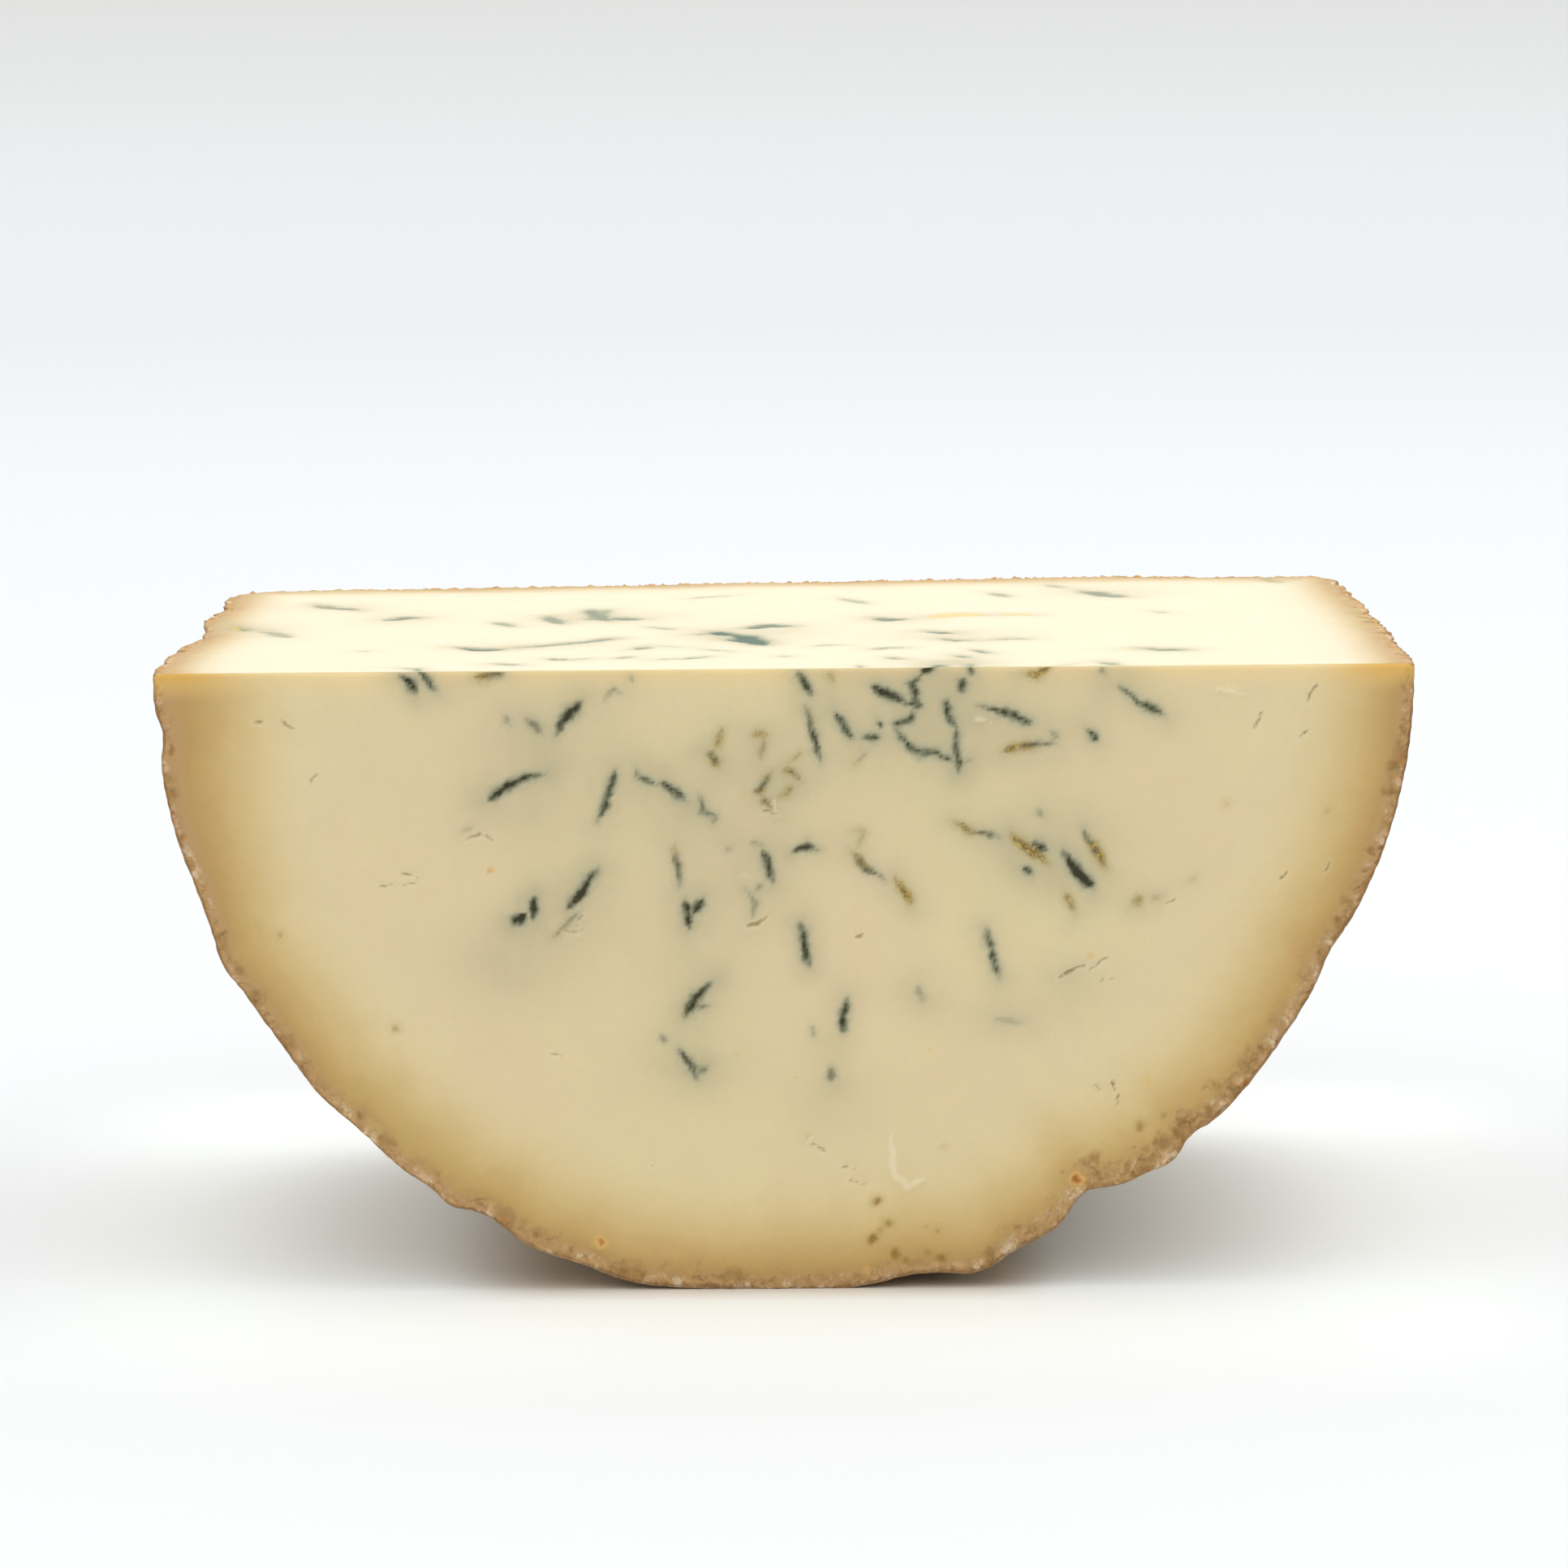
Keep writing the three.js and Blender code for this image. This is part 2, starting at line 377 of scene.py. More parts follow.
FRONT_VEINS = (
    # Left shoulder, close under the long edge.
    Mark(((-60.6, 0.6), (-59.0, 2.0), (-58.0, 3.6)), 0.75),
    Mark(((-57.8, -0.5), (-56.8, 0.9), (-54.8, 3.2)), 0.65),
    Mark(((-49.2, 1.4), (-47.3, 0.9), (-43.6, 0.3)), 0.5, 0.9, (1.0, 0.1)),
    Mark(((-31.9, 5.2), (-34.2, 7.6), (-36.2, 10.8)), 0.85, 1.0, (0.3, 0.0), 0.35),
    Mark(((-44.1, 7.3), (-43.0, 9.2)), 0.55, 0.4),
    Mark(((-40.9, 7.7), (-38.1, 10.2)), 0.75, 0.5),
    Mark(((-28.3, 5.0), (-26.6, 3.2), (-24.8, 3.8)), 0.5, 0.35),
    Mark(((-23.9, 0.6), (-23.5, 2.0)), 0.45, 0.35),
    # Left flank.
    Mark(((-47.2, 20.9), (-44.0, 18.6), (-37.6, 16.7)), 0.8, 1.0, (0.1, 0.1), 0.2),
    Mark(((-26.6, 16.4), (-27.8, 20.5), (-29.5, 24.6)), 0.65, 1.0, (0.0, 0.0), 0.3),
    Mark(((-23.3, 15.8), (-22.7, 17.6), (-19.8, 18.9)), 0.5, 0.75),
    Mark(((-19.6, 18.2), (-17.8, 19.2), (-15.2, 21.6)), 0.7, 0.85, (0.1, 0.0), 0.4),
    Mark(((-13.3, 20.4), (-12.6, 23.2), (-10.8, 24.1), (-11.4, 25.4)), 0.45, 0.7),
    Mark(((-51.9, 26.3), (-49.0, 25.2)), 0.4, 0.3, (0.5, 0.4)),
    Mark(((-26.6, 20.5), (-26.8, 22.5)), 0.35, 0.25, (0.8, 0.8)),
    Mark(((-17.3, 28.6), (-16.6, 35.4)), 0.45, 0.8, (0.5, 0.1)),
    Mark(((-15.9, 37.3), (-14.9, 41.8)), 0.85, 1.0, (0.0, 0.15), 0.4),
    Mark(((-12.9, 36.8), (-14.4, 39.8)), 0.75, 1.0),
    Mark(((-43.6, 41.4), (-41.4, 39.3)), 1.0),
    Mark(((-39.9, 36.4), (-40.1, 40.2)), 0.8),
    Mark(((-29.6, 32.3), (-34.8, 38.5)), 0.9, 1.0, (0.0, 0.35), 0.65),
    Mark(((-32.9, 39.2), (-34.6, 41.2), (-37.0, 43.4)), 0.5, 0.5, (0.1, 0.8)),
    Mark(((-11.5, 50.4), (-14.2, 53.2), (-16.0, 56.7)), 0.8, 1.0, (0.0, 0.4), 0.65),
    Mark(((-14.2, 54.9), (-12.2, 54.6)), 0.4, 0.6),
    Mark(((-17.2, 61.6), (-15.4, 64.2), (-14.0, 66.8)), 0.7, 0.75),
    Mark(((-14.6, 65.2), (-12.4, 64.3)), 0.5, 0.65),
    Mark(((-19.9, 59.4), (-18.7, 61.0)), 0.6, 0.45),
    # Under the middle of the long edge.
    Mark(((2.4, 0.2), (4.7, 4.4)), 0.6, 0.95),
    Mark(((7.4, 0.6), (8.4, 2.6)), 0.6, 0.45, (1.0, 1.0)),
    Mark(((3.7, 6.2), (5.0, 10.0), (6.1, 15.4)), 0.6, 0.85, (0.4, 0.0), 0.65),
    Mark(((8.4, 7.2), (11.4, 11.6)), 0.6, 1.0, (0.1, 0.0), 0.4),
    Mark(((11.2, 16.0), (13.8, 13.4)), 0.4, 0.35, (0.7, 0.1)),
    Mark(((-9.2, 9.6), (-10.8, 13.0)), 0.5, 0.7, (1.0, 0.9)),
    Mark(((-11.8, 13.2), (-10.0, 16.0)), 0.9, 0.65, (0.5, 0.6)),
    Mark(((-5.2, 11.0), (-2.2, 10.8)), 0.8, 0.5, (1.0, 1.0)),
    Mark(((-3.4, 11.4), (-3.3, 15.2)), 0.55, 0.45, (0.8, 0.5)),
    Mark(((1.0, 15.2), (3.5, 13.7)), 0.45, 0.45, (0.7, 0.8)),
    Mark(((-1.6, 16.8), (-4.3, 20.4)), 0.5, 0.9, (0.5, 0.5), 0.7),
    Mark(((-0.2, 16.8), (1.4, 16.9), (3.0, 18.2)), 0.4, 0.85, (0.6, 0.6)),
    Mark(((-0.7, 20.8), (1.8, 19.2)), 0.35, 0.8, (0.7, 0.7)),
    Mark(((-3.6, 20.6), (-1.3, 23.2)), 0.4, 0.8, (0.4, 0.8)),
    Mark(((1.2, 30.1), (4.0, 28.7), (5.8, 29.5)), 0.65, 0.8),
    Mark(((-5.5, 28.0), (-2.9, 28.6)), 0.4, 0.4, (0.4, 0.4)),
    Mark(((-9.0, 28.4), (-8.2, 29.4)), 0.6, 0.25),
    Mark(((-3.3, 29.4), (-1.5, 34.6)), 0.65, 0.85),
    Mark(((-4.4, 35.9), (-3.0, 34.8)), 0.4, 0.5),
    Mark(((-6.6, 35.4), (-4.4, 37.6), (-5.8, 40.8)), 0.6, 0.4),
    Mark(((2.8, 41.0), (4.0, 48.4)), 0.7, 1.0, (0.0, 0.0), 0.6),
    Mark(((10.0, 53.0), (9.0, 59.4)), 0.65, 1.0, (0.0, 0.0), 0.7),
    Mark(((4.3, 57.6), (5.0, 59.8)), 0.5, 0.4),
    Mark(((7.1, 64.4), (7.5, 67.4)), 0.75, 0.6),
    Mark(((10.4, 26.3), (13.0, 26.6), (12.0, 29.6)), 0.4, 0.4, (0.9, 0.6)),
    Mark(((10.7, 29.6), (13.6, 32.6), (16.6, 34.6)), 0.65, 0.7, (0.7, 0.0), 0.45),
    Mark(((17.9, 33.7), (20.5, 38.5)), 0.65, 0.9, (1.0, 1.0)),
    # The dark network right of the middle.
    Mark(((14.2, 2.7), (16.2, 4.1), (21.0, 6.2)), 0.8, 1.0, (0.1, 0.0), 0.2),
    Mark(((24.0, -0.6), (22.6, 1.3)), 1.0, 0.95, (0.3, 0.2)),
    Mark(((22.3, 1.4), (20.6, 2.8), (21.9, 5.8)), 0.6),
    Mark(((20.3, 5.5), (22.3, 6.2)), 0.6),
    Mark(((30.0, -1.0), (30.7, 1.6)), 0.4, 0.8),
    Mark(((29.6, 2.0), (27.8, 4.0)), 0.7),
    Mark(((26.3, 5.0), (26.5, 8.0), (28.1, 9.8)), 0.6),
    Mark(((28.0, 9.4), (27.6, 13.5), (28.0, 17.2)), 0.55, 1.0, (0.0, 0.0), 0.75),
    Mark(((12.8, 11.6), (15.8, 11.0)), 0.55, 0.9),
    Mark(((15.3, 8.4), (15.7, 9.8)), 0.5, 0.9),
    Mark(((17.4, 9.5), (20.4, 8.3), (20.9, 6.5)), 0.5, 0.9),
    Mark(((17.8, 9.3), (19.8, 12.4), (22.0, 13.9), (24.6, 13.9), (27.6, 15.3)), 0.55),
    Mark(((28.4, 15.0), (30.6, 14.9)), 0.5, 0.25),
    # Right shoulder.
    Mark(((38.5, 1.2), (40.6, 1.6), (43.4, -0.9)), 0.65, 0.85, (1.0, 0.8)),
    Mark(((50.6, 0.2), (51.4, 2.0)), 0.7, 0.35),
    Mark(((53.4, 3.4), (57.0, 6.0), (61.0, 8.6)), 0.6, 1.0, (0.1, 0.0), 0.65),
    Mark(((30.8, 6.2), (35.4, 7.3), (39.9, 9.6)), 0.65, 1.0, (0.3, 0.0), 0.85),
    Mark(((35.0, 13.9), (38.2, 12.9), (43.8, 12.6)), 0.55, 0.9, (1.0, 0.0), 0.2),
    Mark(((42.6, 10.4), (44.0, 11.8)), 0.45, 0.55),
    Mark(((48.5, 10.0), (50.4, 12.4)), 0.55, 0.9),
    # Right flank.
    Mark(((27.2, 24.9), (30.0, 26.6), (35.0, 27.7)), 0.55, 0.8, (1.0, 0.0), 0.25),
    Mark(((36.4, 26.9), (39.0, 29.6), (42.8, 32.2)), 0.75, 0.85, (1.0, 0.8), 0.35),
    Mark(((39.4, 28.4), (42.3, 29.7)), 0.65),
    Mark(((44.6, 29.9), (46.8, 33.0), (49.6, 35.6)), 1.15, 1.0, (0.0, 0.0), 0.7),
    Mark(((47.6, 26.0), (51.6, 32.9)), 0.6, 0.9, (0.2, 1.0), 0.6),
    Mark(((38.3, 32.5), (39.6, 34.0)), 0.65, 0.9),
    Mark(((40.8, 23.0), (41.4, 24.9)), 0.65, 0.4),
    Mark(((44.8, 36.4), (46.7, 40.1)), 0.65, 0.6, (1.0, 0.4)),
    Mark(((55.4, 38.8), (57.4, 37.6)), 0.8, 0.5, (1.0, 0.8)),
    Mark(((58.6, 37.7), (60.6, 37.0)), 0.45, 0.3, (0.8, 0.5)),
    Mark(((64.2, 35.3), (66.2, 34.1)), 0.5, 0.22, (0.8, 0.8)),
    Mark(((32.1, 42.4), (34.3, 50.2)), 0.6, 1.0, (0.0, 0.0), 0.6),
    Mark(((20.8, 51.6), (22.6, 54.5)), 0.6, 0.38),
    Mark(((33.2, 57.0), (38.6, 57.8)), 0.5, 0.3),
    Mark(((43.4, 50.6), (46.6, 49.0)), 0.5, 0.22),
)

TOP_VEINS = (
    # Left, with the browner marks near the rind.
    Mark(((-95.0, 64.5), (-92.0, 58.0), (-90.0, 55.0)), 1.6, 0.75, (0.7, 0.4)),
    Mark(((-88.4, 54.0), (-85.0, 50.0), (-82.0, 45.0)), 1.5, 0.35),
    Mark(((-82.8, 93.0), (-79.0, 86.0), (-73.5, 82.0)), 1.6, 0.55, (0.5, 0.1)),
    Mark(((-68.4, 68.0), (-65.2, 71.5), (-62.0, 71.0)), 1.9, 0.6),
    Mark(((-69.8, 26.0), (-67.0, 25.6)), 0.4, 0.5),
    Mark(((-53.6, 29.5), (-50.0, 26.0), (-45.4, 27.5)), 0.9, 0.9),
    Mark(((-45.6, 27.5), (-38.0, 31.0), (-27.6, 38.0)), 0.8, 0.6),
    Mark(((-49.8, 63.0), (-47.0, 58.0), (-45.4, 56.0)), 1.4, 0.42),
    Mark(((-41.0, 71.0), (-39.0, 62.0), (-37.6, 58.0)), 1.6, 0.48),
    Mark(((-34.4, 80.0), (-32.4, 70.0), (-30.0, 62.0)), 1.8, 0.5),
    Mark(((-30.8, 78.0), (-33.6, 64.0)), 1.4, 0.4),
    Mark(((-30.4, 67.0), (-27.2, 65.0), (-24.0, 64.6)), 1.5, 0.5),
    Mark(((-33.0, 35.0), (-28.2, 39.5)), 1.0, 0.5),
    Mark(((-37.6, 13.6), (-33.8, 12.8)), 0.55, 0.95),
    Mark(((-33.8, 13.2), (-30.0, 14.5)), 0.35, 0.4),
    Mark(((-46.4, 7.8), (-41.8, 6.2)), 0.5, 0.85),
    Mark(((-57.6, 0.0), (-58.4, 3.2), (-60.6, 4.0)), 0.5, 0.8),
    # Middle.
    Mark(((-23.6, 54.5), (-18.3, 50.0)), 0.9, 0.4),
    Mark(((-24.2, 24.5), (-22.1, 27.5)), 0.9, 0.8),
    Mark(((-20.2, 29.0), (-16.5, 27.0)), 0.6, 0.3),
    Mark(((-27.0, 14.0), (-23.8, 15.8)), 0.6, 0.6),
    Mark(((-20.8, 11.4), (-16.0, 12.4), (-11.6, 14.8)), 0.5, 0.7),
    Mark(((-15.8, 43.0), (-12.0, 43.6)), 0.9, 0.4),
    Mark(((-11.9, 47.5), (-9.0, 40.5)), 1.7, 0.9),
    Mark(((-8.6, 44.0), (-5.6, 36.0), (-3.0, 29.0)), 2.0),
    Mark(((-9.6, 36.6), (-4.4, 32.0)), 1.2, 0.9),
    Mark(((-7.0, 50.5), (-3.2, 54.0), (1.6, 53.0)), 1.9, 0.65),
    Mark(((-13.2, 24.5), (-8.0, 20.6)), 0.9, 0.38),
    Mark(((4.8, 25.6), (7.2, 27.4), (10.5, 27.6)), 0.8, 0.38),
    Mark(((-0.9, 14.6), (1.4, 13.0)), 0.5, 0.45),
    Mark(((9.0, 90.0), (14.0, 80.0)), 1.6, 0.3),
    Mark(((-18.0, 92.0), (-9.0, 96.0)), 0.9, 0.28),
    Mark(((12.2, 3.6), (12.8, 0.0)), 0.4, 0.5),
    Mark(((15.0, 62.5), (17.6, 59.0), (20.8, 59.6)), 2.0, 0.6),
    Mark(((14.1, 21.4), (17.0, 23.4), (20.3, 23.0)), 0.9, 0.42),
    Mark(((17.0, 11.8), (19.7, 9.4)), 0.5, 0.85),
    # Right of the middle, where the dark network reaches the long edge.
    Mark(((23.6, 61.6), (28.6, 64.6), (34.4, 64.0)), 2.9, 0.5, (1.4, 1.4)),
    Mark(((35.8, 62.6), (39.0, 64.2), (42.8, 63.4)), 2.1, 0.4, (1.4, 1.4)),
    Mark(((23.1, 43.4), (25.6, 41.6), (28.4, 41.2)), 0.9, 0.8),
    Mark(((26.0, 34.6), (28.5, 31.6), (31.4, 31.6)), 0.9, 0.6),
    Mark(((32.9, 31.6), (37.0, 33.2), (41.1, 33.0)), 0.8, 0.42),
    Mark(((30.6, 20.4), (33.4, 15.0)), 0.8, 0.6),
    Mark(((27.6, 13.5), (30.3, 9.4)), 0.7, 0.6),
    Mark(((30.0, 0.0), (29.8, 4.0)), 0.4, 0.7),
    Mark(((24.0, 0.0), (26.0, 2.6)), 0.9, 0.8),
    Mark(((43.4, 0.0), (47.0, 3.6)), 0.4, 0.5, (0.8, 0.2)),
    Mark(((51.2, 5.0), (53.4, 0.5)), 0.8, 0.6),
    Mark(((57.7, 19.8), (61.0, 18.0), (65.7, 17.8)), 1.0, 0.55),
    Mark(((35.1, 95.0), (38.6, 88.0)), 1.4, 0.35),
    Mark(((51.1, 96.0), (55.0, 88.0), (59.2, 85.0)), 2.0, 0.5),
    Mark(((45.2, 105.0), (48.7, 100.0)), 1.2, 0.3),
    Mark(((62.4, 67.0), (64.7, 63.0)), 0.9, 0.32),
    Mark(((83.8, 112.0), (87.0, 105.0)), 1.4, 0.4, (0.5, 0.5)),
)

FRONT_BLOOMS = (
    Bloom(-36, 12, 13, 8, 0.55),
    Bloom(-43, 22, 9, 7, 0.45),
    Bloom(-44, 47, 9, 7, 0.6),
    Bloom(-33, 38, 9, 9, 0.5),
    Bloom(-20, 21, 12, 8, 0.45),
    Bloom(-8, 33, 12, 12, 0.4),
    Bloom(0, 16, 12, 9, 0.35),
    Bloom(22, 8, 12, 11, 0.75),
    Bloom(27, 1.5, 4, 3, 0.9),
    Bloom(40, 11, 10, 6, 0.45),
    Bloom(52, 3, 7, 5, 0.4),
    Bloom(42, 29, 13, 9, 0.5),
    Bloom(22, 53, 5, 4, 0.35),
    Bloom(36, 57, 8, 4, 0.4),
    Bloom(46, 51, 8, 5, 0.35),
    Bloom(-15, 64, 9, 6, 0.5),
    Bloom(7, 70, 7, 6, 0.35),
    Bloom(-14, 50, 8, 8, 0.35),
)

TOP_BLOOMS = (
    Bloom(-32, 68, 14, 9, 0.5),
    Bloom(-6, 44, 12, 12, 0.55),
    Bloom(27, 4, 8, 6, 0.75),
    Bloom(28, 38, 12, 8, 0.4),
    Bloom(55, 92, 12, 8, 0.4),
    Bloom(-66, 70, 8, 9, 0.4),
    Bloom(18, 60, 8, 8, 0.4),
    Bloom(-40, 31, 14, 5, 0.35),
    Bloom(-90, 57, 9, 9, 0.4),
    Bloom(-78, 87, 9, 7, 0.4),
    Bloom(61, 18, 8, 4, 0.35),
)

CRACKS = (
    Mark(((-84.6, 7.9), (-81.0, 8.3)), 0.35, 0.6),
    Mark(((-79.7, 7.9), (-78.2, 8.9), (-77.2, 8.8)), 0.45, 0.8),
    Mark(((-75.8, 17.6), (-73.8, 16.6)), 0.4, 0.45),
    Mark(((-50.6, 27.5), (-48.4, 26.3), (-46.0, 27.3)), 0.35, 0.8),
    Mark(((-61.2, 32.5), (-58.4, 33.3)), 0.3, 0.6),
    Mark(((-60.6, 34.7), (-57.8, 34.1)), 0.3, 0.6),
    Mark(((-65.2, 34.7), (-62.4, 34.2)), 0.3, 0.5),
    Mark(((76.2, 7.5), (75.0, 10.7)), 0.4, 0.6),
    Mark(((84.8, 3.4), (83.4, 6.4)), 0.45, 0.6),
    Mark(((83.5, 10.9), (82.3, 11.9)), 0.4, 0.6),
    Mark(((80.4, 33.2), (79.3, 34.8)), 0.4, 0.6),
    Mark(((87.2, 32.0), (86.0, 33.6)), 0.4, 0.5),
    Mark(((52.0, 66.8), (53.1, 69.1)), 0.4, 0.8),
    Mark(((53.6, 69.6), (53.0, 71.2)), 0.35, 0.7),
    Mark(((49.6, 67.9), (51.0, 68.9)), 0.35, 0.7),
    Mark(((4.2, 77.5), (6.8, 78.7)), 0.35, 0.6),
    Mark(((7.8, 80.6), (10.8, 81.7)), 0.35, 0.5),
    Mark(((10.0, 83.5), (13.0, 84.3)), 0.35, 0.5),
    Mark(((-33.2, 40.8), (-31.2, 39.3)), 0.35, 0.7),
    Mark(((-35.0, 42.3), (-32.8, 42.9)), 0.35, 0.7),
    Mark(((-33.8, 41.5), (-31.9, 41.9)), 0.3, 0.6),
    Mark(((-6.2, 41.6), (-4.4, 41.3), (-2.8, 40.4)), 0.5, 0.9),
    Mark(((11.4, 43.7), (13.1, 43.0)), 0.35, 0.8),
    Mark(((-3.4, 23.3), (-0.6, 23.4)), 0.35, 0.7),
    Mark(((43.4, 50.9), (45.6, 49.3), (48.4, 48.2)), 0.35, 0.7),
    Mark(((48.6, 49.4), (51.8, 47.2)), 0.35, 0.6),
    Mark(((50.0, 51.0), (52.6, 50.2)), 0.3, 0.6),
    Mark(((60.8, 38.4), (62.8, 37.6)), 0.3, 0.5),
    Mark(((-38.0, 62.2), (-35.6, 62.6)), 0.3, 0.4),
    Mark(((-22.0, 81.0), (-20.6, 80.4)), 0.3, 0.4),
)

PITS = (
    Spot(14.6, 86.9, 0.9),
    Spot(16.4, 90.6, 0.7),
    Spot(15.2, 92.0, 0.5, 0.7),
    Spot(13.8, 93.3, 1.1),
    Spot(17.6, 95.6, 1.1),
    Spot(19.4, 96.4, 0.8, 0.7),
    Spot(24.8, 96.2, 0.9),
    Spot(22.6, 95.4, 0.6, 0.6),
    Spot(24.3, 91.7, 0.5, 0.7),
    Spot(-80.6, 42.6, 0.5, 0.7),
    Spot(-62.5, 58.0, 0.55, 0.7),
    Spot(86.7, 23.9, 0.4, 0.5),
    Spot(70.5, 22.6, 0.4, 0.5),
    Spot(57.1, 74.7, 0.8, 0.9),
    Spot(60.6, 73.0, 0.7, 0.6),
    Spot(3.6, 76.2, 0.4, 0.4),
    Spot(22.2, 91.0, 0.4, 0.5),
    Spot(25.6, 78.0, 0.4, 0.4),
)

SMEARS = (
    Mark(((16.7, 75.2), (17.4, 82.4), (19.2, 84.4), (22.4, 82.8)), 0.85, 1.0, (0.0, 0.0), 0.55),
    Mark(((68.2, 4.3), (71.0, 4.3), (73.8, 4.9)), 0.55),
    Mark(((29.8, 8.2), (33.6, 9.2)), 0.6),
    Mark(((-1.6, 21.2), (-0.8, 24.4)), 0.8, 0.8),
    Mark(((-7.0, 33.0), (-5.0, 34.0)), 0.9, 0.7),
    Mark(((1.8, 75.4), (3.6, 77.2), (5.6, 75.6)), 0.5, 0.7),
)

TOP_SMEARS = (
    Mark(((-95.6, 20.6), (-74.0, 17.2), (-47.0, 7.7)), 1.0, 1.0, (0.0, 0.0), 0.6),
    Mark(((62.0, 12.0), (84.0, 13.5)), 0.6, 0.6),
    Mark(((-20.0, 21.0), (4.0, 19.6)), 0.6, 0.5),
)

ORANGE_SPOTS = (
    Spot(-30.2, 93.2, 1.3),
    Spot(24.2, 65.4, 0.7, 0.6),
    Spot(49.2, 46.5, 0.8, 0.7),
    Spot(58.1, 67.4, 0.7, 0.7),
    Spot(-46.6, 32.3, 0.8, 0.8),
    Spot(46.6, 83.6, 1.5),
    Spot(-5.9, 20.4, 0.8, 0.5),
    Spot(-7.8, 62.5, 0.5, 0.7),
    Spot(1.6, 66.2, 0.5, 0.6),
    Spot(23.6, 62.0, 0.9, 0.45),
    Spot(-80.2, 88.0, 1.0, 0.4),
    Spot(13.0, 98.2, 1.6, 0.5),
    Spot(-16.0, 99.0, 1.8, 0.45),
    Spot(52.0, 70.0, 0.7, 0.4),
)


@dataclass(frozen=True)
class FaceMarks:
    """All the marks of one cut face, and how wide and how soft its veins are."""

    seed: int
    thinning: float
    softness: float
    veins: tuple[Mark, ...]
    blooms: tuple[Bloom, ...]
    smears: tuple[Mark, ...]
    cracks: tuple[Mark, ...] = ()
    pits: tuple[Spot, ...] = ()
    spots: tuple[Spot, ...] = ()


FRONT_MARKS = FaceMarks(21, 0.8, 1.0, FRONT_VEINS, FRONT_BLOOMS, SMEARS, CRACKS, PITS, ORANGE_SPOTS)
TOP_MARKS = FaceMarks(22, 0.95, 1.4, TOP_VEINS, TOP_BLOOMS, TOP_SMEARS)


